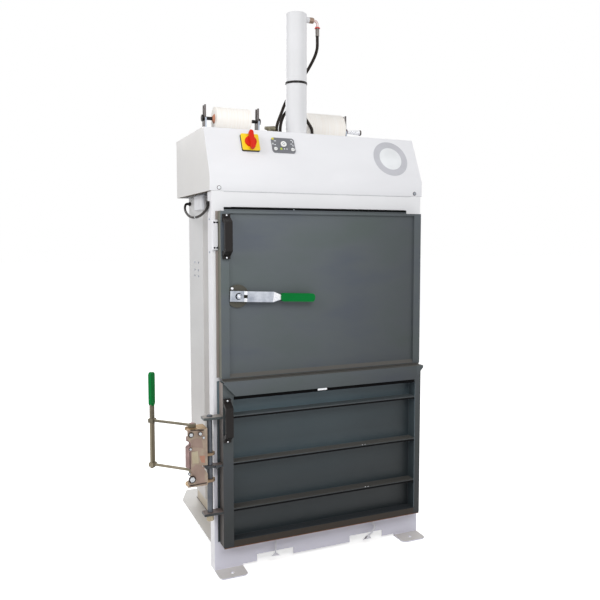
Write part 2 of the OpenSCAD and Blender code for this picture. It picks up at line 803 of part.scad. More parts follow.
// ---- hinges: barrel with fixed pin on the frame, barrel on each door ----
module frame_hinge(z) {
    translate([hinge_x, -hinge_y, z - barrel_h]) {
        cylinder(d = barrel_d, h = barrel_h);
        cylinder(d = pin_d, h = 2 * barrel_h - 4);
    }
    block([hinge_x - barrel_d / 2 + 2, -hinge_y, z - barrel_h],
        [hinge_x + barrel_d / 2 - 2, 0, z]);
}
module frame_hinges() {
    color(wall_grey) at_frame() for (z = concat(upper_hinge_z, lower_hinge_z)) frame_hinge(z);
}
module door_hinge(z) {
    leaf = barrel_d / 2;
    difference() {
        union() {
            translate([hinge_x, -hinge_y, z + 0.5]) cylinder(d = barrel_d, h = barrel_h);
            block([half_d, -hinge_y - leaf, z + 0.5], [hinge_x, -hinge_y + 2, z + 0.5 + barrel_h]);
        }
        translate([hinge_x, -hinge_y, z - 1]) cylinder(d = pin_d + 2 * axle_gap, h = barrel_h + 3);
    }
}
module upper_door_hinges() {
    color(door_grey) at_frame() for (z = upper_hinge_z) door_hinge(z);
}
module lower_door_hinges() {
    color(door_grey) at_frame() for (z = lower_hinge_z) door_hinge(z);
}

// ---- upper door ----
upper_top_rim = 10;
upper_low_rim = 3;
low_slope = 14;
module upper_door() {
    fy = -upper_front;
    by = -door_gap - door_t;
    r = rim_w;
    color(door_grey) at_frame() difference() {
        block([-half_d, fy, upper_z0], [half_d, by, upper_z1]);
        from_side(-half_d + r, half_d - r) polygon([[fy - 1, upper_z1 - upper_top_rim],
            [fy + sunk, upper_z1 - upper_top_rim], [fy + sunk, upper_z0 + upper_low_rim + low_slope],
            [fy, upper_z0 + upper_low_rim], [fy - 1, upper_z0 + upper_low_rim]]);
        block([-half_d + door_t, fy + door_t, upper_z0 + door_t],
            [-half_d + r - door_t, by + 1, upper_z1 - door_t]);
        block([half_d - r + door_t, fy + door_t, upper_z0 + door_t],
            [half_d - door_t, by + 1, upper_z1 - door_t]);
        block([-half_d + door_t, fy + sunk + door_t, upper_z0 + 2 * door_t],
            [half_d - door_t, by + 1, upper_z1 - door_t]);
        translate([-latch_x, 0, latch_z]) rotate([90, 0, 0]) cylinder(d = 20, h = 60);
    }
}
module upper_door_back() {
    color(door_grey) at_frame() difference() {
        block([-half_d - door_lip, -door_gap - door_t, upper_z0], [half_d, -door_gap, upper_z1]);
        translate([-latch_x - keeper_r, 0, latch_z]) rotate([90, 0, 0])
            cylinder(d = keeper_d + 10, h = 20);
        block([-half_w, -door_gap - door_t - 1, switch_z0 - 4],
            [-half_d - 1, 0, switch_z1 + 4]);
    }
}
// A black bridge handle standing on a door: a pad with a screw at each end, the bar between
// them and the hand's gap behind it
module bridge_handle(x, front, z) {
    foot = 30;
    pad_l = 11;
    bar = 14;
    end = handle_l / 2;
    screw_d = 10;
    translate([x, -front, z]) {
        translate([-handle_w / 2, 0, 0]) from_side(0, handle_w) difference() {
            polygon([[0, -end], [-handle_pad, -end], [-handle_pad, -end + pad_l],
                [-handle_h, -end + foot], [-handle_h, end - foot], [-handle_pad, end - pad_l],
                [-handle_pad, end], [0, end]]);
            polygon([[1, -end + foot], [-handle_pad, -end + foot],
                [-handle_h + bar, -end + foot * 1.3], [-handle_h + bar, end - foot * 1.3],
                [-handle_pad, end - foot], [1, end - foot]]);
        }
        for (s = [-1, 1]) translate([0, -handle_pad + 1, s * (end - pad_l / 2)])
            rotate([90, 0, 0]) cylinder(d = screw_d, h = 5);
    }
}
module upper_handle() {
    color(black) at_frame() bridge_handle(upper_handle_x, upper_front, upper_handle_z);
}
disc_t = 8;
// The disc fills the sunk panel up to the door's border, where its side is cut flat
module latch_disc() {
    gap = 0.3;
    color("#4a4b42") at_frame() difference() {
        translate([-latch_x, -upper_front + sunk, latch_z]) rotate([90, 0, 0]) difference() {
            union() {
                cylinder(d = disc_d, h = disc_t);
                translate([-28, 29, disc_t]) cylinder(d = 9, h = 5);
            }
            translate([0, 0, -1]) cylinder(d = 18.6, h = disc_t + 2);
        }
        block([-half_d, -upper_front - 10, latch_z - disc_d],
            [-half_d + rim_w + gap, 0, latch_z + disc_d]);
    }
}
// Lever plane: head on the spindle, a joggle, the long flat, then the tang under the grip
lever_t = 5;
lever_y = upper_front - sunk + disc_t + 6;
joggle = 9;
head_l = 35;
flat_x = 40;
flat_l = 104;
grip_start = 175;
tang_h = 20;
module latch_lever() {
    h = latch_h;
    hole = 13;
    spindle_in = lever_y - door_gap - door_t - 2;
    color(zinc) at_frame() translate([-latch_x, -lever_y, latch_z]) rotate([0, latch_droop, 0]) {
        difference() {
            union() {
                from_front(-lever_t, 0) translate([-head_l, -h / 2]) square([head_l + 22, h]);
                translate([0, 0, -h / 2]) linear_extrude(h) polygon([
                    [22, 0], [22, -lever_t], [32, -lever_t - joggle],
                    [flat_x, -lever_t - joggle], [flat_x, -joggle], [34, -joggle], [24, 0]]);
                from_front(-lever_t - joggle, -joggle) {
                    translate([flat_x, -h / 2]) square([flat_l, h]);
                    polygon([[flat_x + flat_l, -h / 2], [flat_x + flat_l, h / 2],
                        [grip_start, tang_h / 2], [grip_start, -tang_h / 2]]);
                    translate([grip_start, -tang_h / 2]) square([latch_grip_l - 20, tang_h]);
                }
            }
            from_front(-2 * lever_t - joggle, 1) translate([21, -hole / 2]) square(hole);
        }
        rotate([90, 0, 0]) {
            translate([0, 0, -spindle_in]) cylinder(d = 18, h = spindle_in);
            translate([0, 0, lever_t]) hex(20, 9);
        }
    }
}
module latch_grip() {
    h = 33;
    t = 20;
    r = 12;
    gap = 0.2;
    mid_y = -lever_t / 2 - joggle;
    color(grip_green) at_frame() translate([-latch_x, -lever_y, latch_z])
        rotate([0, latch_droop, 0]) difference() {
            from_front(mid_y - t / 2, mid_y + t / 2)
                translate([grip_start + latch_grip_l / 2, 0]) round_rect(latch_grip_l, h, r);
            from_front(-lever_t - joggle - gap, -joggle + gap)
                translate([grip_start - 1, -tang_h / 2 - gap])
                    square([latch_grip_l - 19 + 2 * gap, tang_h + 2 * gap]);
        }
}
// The cam behind the latch: a disc with a keyhole slot, whose wide end lets the keeper stud in
cam_t = 6;
cam_y = 18;
module latch_cam() {
    slot = keeper_d + 7;
    rim = 6;
    color("#8a8f94") at_frame() translate([-latch_x, -cam_y, latch_z]) rotate([90, 0, 0])
        difference() {
            cylinder(r = keeper_r + slot / 2 + rim, h = cam_t);
            translate([0, 0, -1]) cylinder(d = 18.2, h = cam_t + 2);
            translate([0, 0, -1]) rotate([0, 0, 90]) rotate_extrude(angle = 90)
                translate([keeper_r - slot / 2, 0]) square([slot, cam_t + 2]);
            translate([-keeper_r, 0, -1]) cylinder(d = slot, h = cam_t + 2);
            translate([0, keeper_r, -1]) cylinder(d = slot + 4, h = cam_t + 2);
        }
}

// ---- lower door ----
lower_low_rim = 30;
lower_top_rim = 61;
back_t = 4;
rib_lip = 4;
rib_back = 12;
module lower_door() {
    fy = -lower_front;
    by = -door_gap;
    py = by - back_t;
    r = 9;
    color(door_grey) at_frame() {
        difference() {
            block([-half_d, fy, lower_z0], [half_d, by, lower_z1]);
            block([-half_d + stile_l, fy - 1, lower_z0 + lower_low_rim],
                [half_d - stile_r, py, lower_z1 - lower_top_rim]);
            for (s = [-1, 1]) translate([s * half_d, 0, lower_z0])
                from_front(fy - 1, by + 1) difference() {
                    square(2 * r, center = true);
                    translate([-s * r, r]) circle(r);
                }
        }
        for (z = rib_z) from_side(-half_d + stile_l, half_d - stile_r)
            polygon([[fy, z + rib_t], [fy, z + rib_lip], [fy + rib_back, z + rib_lip],
                [fy + rib_back, z], [py, z], [py, z + rib_t]]);
        block([-half_d - door_lip, by - door_t, lower_z0 + 12], [1 - half_d, by, lower_z1]);
    }
}
// Folded chute along the top of the lower door, cut off at 45 degrees below
chute_t = 3;
module loading_chute() {
    web_y = 34;
    x = half_d - 1;
    cut_x = 45;
    cut_z = 50;
    color(door_grey) at_frame() {
        difference() {
            union() {
                block([-x, -chute_front, chute_z1 - chute_t], [x, -web_y, chute_z1]);
                block([-x, -chute_front, chute_z0], [x, -chute_front + chute_t, chute_z1]);
                block([-x + 60, -web_y - chute_t, lower_z1], [x - 60, -web_y, chute_z1]);
                block([-x, -chute_front, chute_z0], [x, -lower_front, chute_z0 + chute_t]);
            }
            for (s = [-1, 1]) translate([s * x, 0, chute_z0])
                from_front(-chute_front - 1, -lower_front + 1)
                    polygon([[s * 2, -1], [-s * (cut_x + 1), -1], [s * 2, cut_z + 2]]);
        }
        block([-56, -chute_front, chute_z0 - 7], [-15, -chute_front + chute_t, chute_z0]);
    }
}
module lower_handle() {
    color(black) at_frame() bridge_handle(lower_handle_x, lower_front, lower_handle_z);
}

// ---- ratchet lock on the left edge of the lower door ----
module at_rod() {
    translate([-lock_x, -lock_y, 0]) children();
}
module at_spindle() {
    translate([-lock_x - spindle_r, -lock_y, 0]) children();
}
bracket_t = 10;
bracket_reach = 29;
bracket_z = [lock_z1 - bracket_t, 446, lock_z0];
nose_r = 35;
// Plate of a bracket round the rod, from its free end to the door's edge
module lock_bracket(z, reach, half_y) {
    difference() {
        block([-lock_x - reach, -lock_y - half_y, z], [-half_d, -lock_y + half_y, z + bracket_t]);
        at_rod() translate([0, 0, z - 1]) cylinder(d = lock_d + 0.2, h = bracket_t + 2);
    }
}
// The middle bracket: pointed nose towards the lock and a bolt head at the door
module middle_bracket(z) {
    lock_bracket(z, 14, 16);
    difference() {
        at_rod() from_front(-20, 8)
            polygon([[-13, z + bracket_t + 8], [-nose_r, z + bracket_t + 8], [-13, z - 8]]);
        at_rod() translate([0, 0, z - 20]) cylinder(d = lock_d + 0.2, h = 60);
    }
    translate([-lock_x + 24, -lock_y - 16, z + bracket_t / 2]) rotate([90, 0, 0]) hex(13, 5);
}
module lock_brackets() {
    color(door_grey) at_frame() {
        lock_bracket(bracket_z[0], bracket_reach, 22);
        middle_bracket(bracket_z[1]);
        lock_bracket(bracket_z[2], bracket_reach, 22);
    }
}
module lock_rod() {
    color("#6b7075") at_frame() at_rod() {
        translate([0, 0, lock_z0]) cylinder(d = lock_d, h = lock_z1 - lock_z0 + 4);
        translate([0, 0, lock_z1 + 4]) cylinder(d1 = lock_d, d2 = lock_d - 6, h = 3);
    }
}
// Nut and washer that hold the rod below its lowest bracket
module lock_nut() {
    washer = 4;
    color(gold) at_frame() at_rod() translate([0, 0, lock_z0 - 24]) {
        hex(26, 20);
        translate([0, 0, 20]) cylinder(d = lock_d + 12, h = washer - 0.1);
    }
}
// Front cheek of the housing: a lobe for the two upper bolts, the waist where the drum
// shows, a notch for the bracket's nose and a lobe for the large nut
module front_cheek() {
    cheek_over = 26;
    w0 = -spindle_r - cheek_over;
    w1 = -18;
    waist = -spindle_r - 12;
    nose_z = bracket_z[1];
    difference() {
        union() {
            polygon([[w0, house_z1], [w1, house_z1], [w1, house_z0], [-spindle_r, house_z0],
                [waist, house_z0 + 60], [waist, wheel_z], [w0, wheel_z + 14]]);
            translate([-spindle_r - 8, house_z0 + 20]) circle(18);
            translate([waist - 4, house_z0 + 52]) circle(8);
        }
        polygon([[w1 + 1, nose_z + bracket_t + 12], [-nose_r - 6, nose_z + bracket_t + 12],
            [w1 + 1, nose_z - 14]]);
    }
}
// Housing: top and bottom plate, back web, front cheek with its bolts, two ears on the rod
module lock_housing() {
    plate_over = 28;
    w0 = -spindle_r - plate_over;
    w1 = -18;
    nose_z = bracket_z[1];
    bolts = [[-spindle_r - 13, house_z1 - 12, 15], [-spindle_r + 27, house_z1 - 12, 15],
        [-spindle_r - 10, house_z0 + 152, 12], [-spindle_r - 16, house_z0 + 52, 9],
        [-spindle_r - 8, house_z0 + 27, 24]];
    color(gold) at_frame() at_rod() difference() {
        union() {
            for (z = [house_z0, house_z1]) translate([0, 0, z]) linear_extrude(house_t) {
                translate([-spindle_r, house_y0]) square([spindle_r + w1, house_y1 - house_y0]);
                translate([-spindle_r, 0]) circle(-w0 - spindle_r);
                translate([w0 + 2, house_y0]) square([-w0 - spindle_r, -house_y0]);
            }
            block([-spindle_r + 16, house_y1 - cheek_t, house_z0], [w1, house_y1, house_z1]);
            from_front(house_y0, house_y0 + cheek_t) front_cheek();
            for (z = ear_z) {
                translate([0, 0, z]) cylinder(d = lock_d + 18, h = ear_t);
                block([w1 - 8, -lock_d / 2 - 9, z], [0, lock_d / 2 + 9, z + ear_t]);
                block([w1 - 14, house_y0, z], [w1, house_y1, z + ear_t]);
            }
            for (b = bolts) translate([b[0], house_y0, b[1]]) rotate([90, 0, 0]) hex(b[2], 6);
            translate([pawl_pin[0] - spindle_r, pawl_pin[1], wheel_z - 4])
                cylinder(d = pawl_pin_d, h = house_z1 - wheel_z + 5);
        }
        for (z = ear_z) translate([0, 0, z - 1])
            cylinder(d = lock_d + 2 * axle_gap, h = ear_t + 2);
        for (z = [house_z0, house_z1]) translate([-spindle_r, 0, z - 3])
            cylinder(d = spindle_d + 2 * axle_gap, h = house_t + 6);
        block([-spindle_r, 0, nose_z - 12], [0, house_y1 + 1, nose_z + bracket_t + 12]);
    }
}
module tooth_outline() {
    step = 360 / teeth;
    polygon([for (k = [0 : teeth - 1], e = [0, 1])
        (e == 0 ? wheel_r : wheel_r - 5) * [cos(k * step + e * 4), sin(k * step + e * 4)]]);
}
// Spindle with its ratchet wheel and the turned drum above the lower arm
module lock_spindle() {
    drum_top = wheel_z - 17;
    drum_low = arm_z0 + 16;
    neck = 14;
    nut_h = 6;
    color("#9c8268") at_frame() at_spindle() {
        translate([0, 0, house_z0 - nut_h])
            cylinder(d = spindle_d, h = arm_z1 + 9 - house_z0 + nut_h);
        translate([0, 0, house_z0 - nut_h - 0.2]) hex(22, nut_h);
        translate([0, 0, wheel_z]) linear_extrude(wheel_t) tooth_outline();
        rotate_extrude() polygon([[0, arm_z0 + 7], [neck, arm_z0 + 7], [drum_r, drum_low],
            [drum_r, drum_top - 7], [drum_r - 7, drum_top], [neck, drum_top], [neck, wheel_z],
            [0, wheel_z]]);
    }
}
module lock_pawl() {
    tip_r = wheel_r + 0.6;
    tip_a = -38;
    tip = [tip_r * cos(tip_a), tip_r * sin(tip_a)];
    color(zinc) at_frame() at_spindle() translate([0, 0, wheel_z + 3]) linear_extrude(10)
        difference() {
            union() {
                polygon([tip, tip + [5, -1], pawl_pin + [4, -8], pawl_pin + [-7, 4]]);
                translate(pawl_pin) circle(d = pawl_pin_d + 10);
            }
            translate(pawl_pin) circle(d = pawl_pin_d + 2 * axle_gap);
        }
}
// Direction of the arms from the spindle, in the plan view
module along_arm() {
    rotate([0, 0, 180 - arm_a]) children();
}
module lock_lever() {
    bar_w = 22;
    bar_t = 9;
    eye = 12;
    eye_h = 12;
    boss = bar_w + 4;
    color("#8f8a76") at_frame() at_spindle() along_arm() difference() {
        union() {
            for (z = [arm_z0, arm_z1]) {
                translate([spindle_d / 2 + 2, 0, z]) rotate([0, 90, 0])
                    cylinder(d = arm_d, h = arm_l - spindle_d / 2 - 2);
                translate([0, 0, z - eye_h / 2]) cylinder(d = spindle_d + eye, h = eye_h);
                translate([arm_l - arm_d, -boss / 2, z - 8]) cube([2 * arm_d, boss, 16]);
            }
            block([arm_l - bar_t / 2, -bar_w / 2, arm_z0 - 14], [arm_l + bar_t / 2, bar_w / 2,
                grip_top - 8]);
        }
        translate([0, 0, arm_z0 - 20]) cylinder(d = spindle_d + 0.1, h = arm_z1 - arm_z0 + 60);
    }
}
module lock_grip() {
    w = 27;
    t = 14;
    r = 13;
    gap = 0.2;
    color(grip_green) at_frame() at_spindle() along_arm() difference() {
        translate([arm_l, 0, grip_top - grip_l / 2]) rotate([90, 0, 90])
            translate([0, 0, -t / 2]) linear_extrude(t) round_rect(w, grip_l, r);
        block([arm_l - 4.5 - gap, -11 - gap, grip_top - grip_l - 1],
            [arm_l + 4.5 + gap, 11 + gap, grip_top - 8 + gap]);
    }
}

// ---- strapping rolls: [left end, distance behind the front, axis height, diameter, length,
// gap to the brackets, height of the prongs above the axis] ----
front_set = [front_roll_x, front_roll_y, front_roll_z, front_roll_d, front_roll_l, front_side,
    front_prong_h];
rear_set = [rear_roll_x, rear_roll_y, rear_roll_z, rear_roll_d, rear_roll_l, rear_side,
    rear_prong_h];
fork_t = 6;
spindle_over = 9;
module fork(axis_h, side, prong) {
    w = 48;
    slot = roll_pin_d + 0.8;
    foot = side + 2;
    from_side(0, fork_t) difference() {
        translate([-w / 2, 0]) square([w, axis_h + prong]);
        translate([-slot / 2, axis_h]) square([slot, prong + 1]);
        translate([0, axis_h]) circle(d = slot);
        for (s = [-1, 1]) translate([s * (w / 2 + 2), axis_h + prong / 2 + 6])
            square([w - slot - 14, prong + 12], center = true);
    }
    difference() {
        block([0, -w / 2, 0], [foot, w / 2, 4]);
        translate([foot - 10, 0, -1]) cylinder(d = 7, h = 6);
    }
}
module roll_brackets() {
    color("#cdd3dc") at_frame() for (r = [front_set, rear_set], s = [-1, 1])
        translate([r[0] + r[4] / 2, r[1], top_z]) mirror([s > 0 ? 1 : 0, 0, 0])
            translate([-r[4] / 2 - r[5] - fork_t, 0, 0]) fork(r[2], r[5], r[6]);
}
module roll(r) {
    translate([r[0], r[1], top_z + r[2]]) rotate([0, 90, 0]) difference() {
        cylinder(d = r[3], h = r[4], $fn = 96);
        translate([0, 0, -1]) cylinder(d = core_d, h = r[4] + 2);
    }
}
// Spindle through the core: a collar outside each fork and a plug in each end of the core
module spindle(r) {
    plug = 26;
    plug_d = core_d - 0.6;
    out = r[5] + fork_t + spindle_over;
    translate([r[0], r[1], top_z + r[2]]) rotate([0, 90, 0]) {
        translate([0, 0, -out]) cylinder(d = roll_pin_d, h = r[4] + 2 * out);
        for (z = [-out, r[4] + out - 6]) translate([0, 0, z]) cylinder(d = roll_pin_d + 14, h = 6);
        translate([0, 0, -8]) cylinder(d1 = roll_pin_d + 4, d2 = plug_d, h = 8);
        cylinder(d = plug_d, h = plug);
        translate([0, 0, r[4] - plug]) cylinder(d = plug_d, h = plug);
        translate([0, 0, r[4]]) cylinder(d1 = plug_d, d2 = roll_pin_d + 4, h = 8);
    }
}
// The rear spindle ends in a tapered hand knob on the right
module rear_knob() {
    r = rear_set;
    start = r[4] + r[5] + fork_t + spindle_over - 1;
    translate([r[0], r[1], top_z + r[2]]) rotate([0, 90, 0]) translate([0, 0, start]) {
        cylinder(d1 = roll_pin_d, d2 = 26, h = 70);
        translate([0, 0, 70]) cylinder(d = 27, h = 8);
    }
}
module front_roll() {
    color("#efece6") at_frame() roll(front_set);
}
module front_spindle() {
    color(black) at_frame() spindle(front_set);
}
module rear_roll() {
    color("#efece6") at_frame() roll(rear_set);
}
module rear_spindle() {
    color(black) at_frame() {
        spindle(rear_set);
        rear_knob();
    }
}

// ---- strap ends that come out under the lower door ----
strap_w = 13;
strap_t = 1.6;
left_tail = [[-groove_x, 40, floor_z + 1.1], [-groove_x, 4, floor_z + 1.1],
    [-groove_x, -5, floor_z + 0.9], [-groove_x, -13, floor_z - 8],
    [-groove_x, -17, floor_z - 24], [-groove_x - 1, -19, 60],
    [-groove_x - 2, -20, 46], [-groove_x - 4, -21, 34], [-groove_x - 6, -23, 24]];
right_tail = [[groove_x, 40, floor_z + 1.1], [groove_x, 4, floor_z + 1.1],
    [groove_x, -5, floor_z + 0.9], [groove_x + 6, -13, floor_z - 10],
    [groove_x + 14, -17, 78], [groove_x + 15, -18, 66],
    [groove_x + 8, -20, 52], [groove_x - 2, -22, 42], [groove_x - 14, -24, 36]];
function strap_ring(p, i) =
    let (t = tangent(p, i), u = [1, 0, 0] - ([1, 0, 0] * t) * t, w = unit(u), v = cross(t, w))
    [for (q = [[-1, -1], [1, -1], [1, 1], [-1, 1]])
        p[i] + q[0] * strap_w / 2 * w + q[1] * strap_t / 2 * v];
module strap_tail(p) {
    m = len(p);
    points = [for (i = [0 : m - 1]) each strap_ring(p, i)];
    walls = [for (i = [0 : m - 2], k = [0 : 3])
        [i * 4 + k, i * 4 + (k + 1) % 4, (i + 1) * 4 + (k + 1) % 4, (i + 1) * 4 + k]];
    polyhedron(points, concat([[3, 2, 1, 0]], walls,
        [[for (k = [0 : 3]) (m - 1) * 4 + k]]), convexity = 4);
}
module strap_tails() {
    color("#b9bcae") at_frame() for (p = [left_tail, right_tail]) strap_tail(p);
}

// ---- screws, bolts and the keeper stud of the body ----
module screw_head(d, h) {
    cylinder(d = d, h = h);
}
// The shouldered stud on the left post that the latch cam turns round
module keeper_stud() {
    tip = 6;
    rotate([90, 0, 0]) {
        cylinder(d = keeper_d, h = cam_y);
        translate([0, 0, cam_y]) cylinder(d1 = keeper_d, d2 = keeper_d - tip, h = tip);
    }
}
module body_screws() {
    color(zinc) at_frame() {
        translate([-latch_x - keeper_r, 0, latch_z]) keeper_stud();
        for (s = [-1, 1]) translate([s * (cover_x - 38), 0, cover_z + 12]) rotate([90, 0, 0])
            screw_head(9, 3);
        for (z = [switch_z0 - 10, switch_z1 + 6]) translate([-half_w, 31, z])
            rotate([0, -90, 0]) screw_head(8, 3);
        for (up = [0, 27, 60], y = [channel_y + 75, channel_y + 139])
            translate([-wall_out - channel_x, y, latch_z + 60 + up]) rotate([0, -90, 0]) screw_head(8, 3);
        for (a = [45 : 90 : 315]) translate([0, cyl_y, cross_z + flange_h]) rotate(a)
            translate([flange_d / 2 - 18, 0, 0]) {
                hex(19, 10);
                translate([0, 0, -flange_h]) cylinder(d = 12, h = flange_h);
            }
    }
}

front_frame();
side_wall_left();
side_wall_right();
rear_wall();
base_plate();
base_rails();
side_channel_left();
side_channel_right();
crosshead();
top_cover();
cylinder_tube();
cylinder_band();
cylinder_gland();
hose_fittings();
pressure_hose();
return_hose();
oil_tank();
pump_motor();
switch_base();
switch_plate();
panel_plate();
door_switch();
switch_cable();
cable_duct();
cable_glands();
frame_hinges();
roll_brackets();
strap_tails();
door_seal();
body_screws();
upper_door();
upper_door_back();
upper_door_hinges();
upper_handle();
latch_disc();
latch_lever();
latch_grip();
latch_cam();
lower_door();
loading_chute();
lower_handle();
lower_door_hinges();
lock_brackets();
lock_rod();
lock_nut();
lock_housing();
lock_pawl();
lock_lever();
lock_grip();
lock_spindle();
piston_rod();
press_platen();
start_button();
left_button();
right_button();
switch_handle();
front_roll();
front_spindle();
rear_roll();
rear_spindle();
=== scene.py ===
"""Looks of the waste compactor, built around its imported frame. Places and sizes on the machine
are in millimetres, from the middle of its front plane at the floor: x to the right, y to the
back, z up. The camera, the lamps and the shaders work in metres."""
import json
import math

import bmesh
import bpy
from mathutils import Matrix, Vector

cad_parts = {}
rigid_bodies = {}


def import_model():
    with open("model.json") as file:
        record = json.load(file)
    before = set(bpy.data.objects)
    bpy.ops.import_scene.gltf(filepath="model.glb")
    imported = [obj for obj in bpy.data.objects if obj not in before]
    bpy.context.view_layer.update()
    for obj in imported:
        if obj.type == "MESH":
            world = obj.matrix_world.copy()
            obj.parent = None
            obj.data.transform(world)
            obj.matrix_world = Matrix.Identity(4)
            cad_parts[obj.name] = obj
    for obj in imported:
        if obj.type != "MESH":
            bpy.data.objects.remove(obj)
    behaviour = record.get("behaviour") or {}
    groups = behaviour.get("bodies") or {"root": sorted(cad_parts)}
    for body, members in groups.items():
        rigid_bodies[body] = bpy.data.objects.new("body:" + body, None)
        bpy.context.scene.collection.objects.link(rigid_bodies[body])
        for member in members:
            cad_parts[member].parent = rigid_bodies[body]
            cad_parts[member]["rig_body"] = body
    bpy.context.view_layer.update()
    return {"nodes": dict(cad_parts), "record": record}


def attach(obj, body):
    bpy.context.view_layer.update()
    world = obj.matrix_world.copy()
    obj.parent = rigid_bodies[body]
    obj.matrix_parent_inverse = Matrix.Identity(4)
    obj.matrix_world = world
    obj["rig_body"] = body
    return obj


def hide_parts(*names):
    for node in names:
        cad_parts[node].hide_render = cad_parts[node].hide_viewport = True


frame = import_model()
NODES = frame["nodes"]

MM = 0.001
# The machine's front plane lies this far behind the row's origin
FRONT = 43
RIGHT, BACK = Vector((1, 0, 0)), Vector((0, 1, 0))
OUT, UP = Vector((0, -1, 0)), Vector((0, 0, 1))


def spot(x, y, z):
    """A place on the machine as a point of the row frame, in metres."""
    return Vector((x, y + FRONT, z)) * MM


# ---------------------------------------------------------------- camera
CAMERA_AT = (-1.213, -2.523, 1.343)
CAMERA_YAW = 23.37
CAMERA_PITCH = 4.04
CAMERA_LENS = 40.48
CAMERA_SENSOR = 36.0
CAMERA_SHIFT_Y = -0.0212
CAMERA_REACH = 200.0


def make_camera():
    data = bpy.data.cameras.new("camera")
    data.sensor_width = CAMERA_SENSOR
    data.lens = CAMERA_LENS
    data.shift_y = CAMERA_SHIFT_Y
    data.clip_end = CAMERA_REACH
    camera = bpy.data.objects.new("camera", data)
    camera.location = CAMERA_AT
    camera.rotation_euler = (math.radians(90 - CAMERA_PITCH), 0, math.radians(-CAMERA_YAW))
    bpy.context.scene.collection.objects.link(camera)
    bpy.context.scene.camera = camera


# ---------------------------------------------------------------- shader helpers
ACROSS, UPWARD = 0, 2  # axes of the row frame
MIX_A, MIX_B, MIX_RESULT = 6, 7, 2  # the colour sockets of a mix node
NOISE_LOW, NOISE_HIGH = 0.3, 0.7  # nearly all of a noise lies between these
MATERIALS = {}  # the machine's materials by their names


def srgb(r, g, b):
    """A colour given as 0 to 255 screen values, as linear light."""
    def linear(v):
        v = v / 255
        return v / 12.92 if v <= 0.04045 else ((v + 0.055) / 1.055) ** 2.4
    return (linear(r), linear(g), linear(b), 1.0)


def tint(colour, factor):
    return (colour[0] * factor, colour[1] * factor, colour[2] * factor, 1.0)


def as_colour(value):
    """A single number as a grey; a colour as it is."""
    return value if isinstance(value, tuple) else (value, value, value, 1.0)


def even_stops(colours, start, end):
    """Ramp stops for two or more colours, evenly from start to end."""
    step = (end - start) / (len(colours) - 1)
    return [(start + step * k, colour) for k, colour in enumerate(colours)]


class Shader:
    """A named material with its principled shader, and short calls that add nodes to it."""

    def __init__(self, name, colour, roughness, metallic=0.0, gloss=0.5):
        material = bpy.data.materials.new(name)
        material.use_nodes = True
        MATERIALS[name] = material
        self.tree = material.node_tree
        self.principled = self.tree.nodes["Principled BSDF"]
        self.set("Base Color", colour)
        self.set("Roughness", roughness)
        self.set("Metallic", metallic)
        self.set("Specular IOR Level", gloss)
        self.coords = self.node("ShaderNodeTexCoord").outputs["Object"]

    def set(self, socket, value):
        self.principled.inputs[socket].default_value = value

    def node(self, kind):
        return self.tree.nodes.new(kind)

    def link(self, source, target):
        self.tree.links.new(source, target)

    def noise(self, scale, detail, stretch=(1, 1, 1)):
        """Noise over the piece, finer along the axes whose stretch is larger."""
        mapping = self.node("ShaderNodeMapping")
        mapping.inputs["Scale"].default_value = stretch
        self.link(self.coords, mapping.inputs["Vector"])
        node = self.node("ShaderNodeTexNoise")
        node.inputs["Scale"].default_value = scale
        node.inputs["Detail"].default_value = detail
        self.link(mapping.outputs["Vector"], node.inputs["Vector"])
        return node.outputs["Fac"]

    def span(self, factor, start, end, low, high):
        """factor from start to end, as low to high."""
        node = self.node("ShaderNodeMapRange")
        node.inputs["From Min"].default_value = start
        node.inputs["From Max"].default_value = end
        node.inputs["To Min"].default_value = low
        node.inputs["To Max"].default_value = high
        self.link(factor, node.inputs["Value"])
        return node.outputs["Result"]

    def ramp(self, factor, stops):
        """A colour for each factor; stops is a list of (place, colour)."""
        node = self.node("ShaderNodeValToRGB")
        elements = node.color_ramp.elements
        while len(elements) < len(stops):
            elements.new(0.5)
        for element, (place, colour) in zip(elements, stops):
            element.position = place
            element.color = colour
        self.link(factor, node.inputs["Fac"])
        return node.outputs["Color"]

    def multiply_along(self, base, axis, start, end, stops):
        """base times a ramp along an axis of the row frame, from start to end in metres.
        stops is a list of (place in metres, factor or colour)."""
        split = self.node("ShaderNodeSeparateXYZ")
        self.link(self.coords, split.inputs["Vector"])
        along = self.span(split.outputs[axis], start, end, 0.0, 1.0)
        ramp = self.ramp(along, [((place - start) / (end - start), as_colour(value))
                                 for place, value in stops])
        node = self.node("ShaderNodeMix")
        node.data_type = "RGBA"
        node.blend_type = "MULTIPLY"
        node.inputs["Factor"].default_value = 1.0
        self.link(base, node.inputs[MIX_A])
        self.link(ramp, node.inputs[MIX_B])
        return node.outputs[MIX_RESULT]

    def colour(self, source):
        self.link(source, self.principled.inputs["Base Color"])

    def vary_roughness(self, factor, low, high):
        roughness = self.span(factor, NOISE_LOW, NOISE_HIGH, low, high)
        self.link(roughness, self.principled.inputs["Roughness"])

    def bump(self, height, strength, distance):
        node = self.node("ShaderNodeBump")
        node.inputs["Strength"].default_value = strength
        node.inputs["Distance"].default_value = distance
        self.link(height, node.inputs["Height"])
        self.link(node.outputs["Normal"], self.principled.inputs["Normal"])


# Scales of the noises: the larger, the finer
PAINT_CLOUD, PAINT_SHEEN, PAINT_PEEL = 2.5, 9.0, 700.0
PAINT_MOTTLE = 0.03  # how much the clouds lighten and darken a plain paint
METAL_BRUSH, METAL_GRAIN = 120.0, 300.0
PLASTIC_TONE, PLASTIC_SHEEN, PLASTIC_GRAIN = 14.0, 60.0, 900.0
# Depths of the bumps, in metres
PEEL_DEPTH, METAL_DEPTH, PLASTIC_DEPTH, RING_DEPTH = 0.0006, 0.0004, 0.0003, 0.0008
FALL_HEIGHT = 2.35  # falls are given from the floor up to this height, in metres
CROSS_REACH = 0.5  # and crosses up to this far from the middle


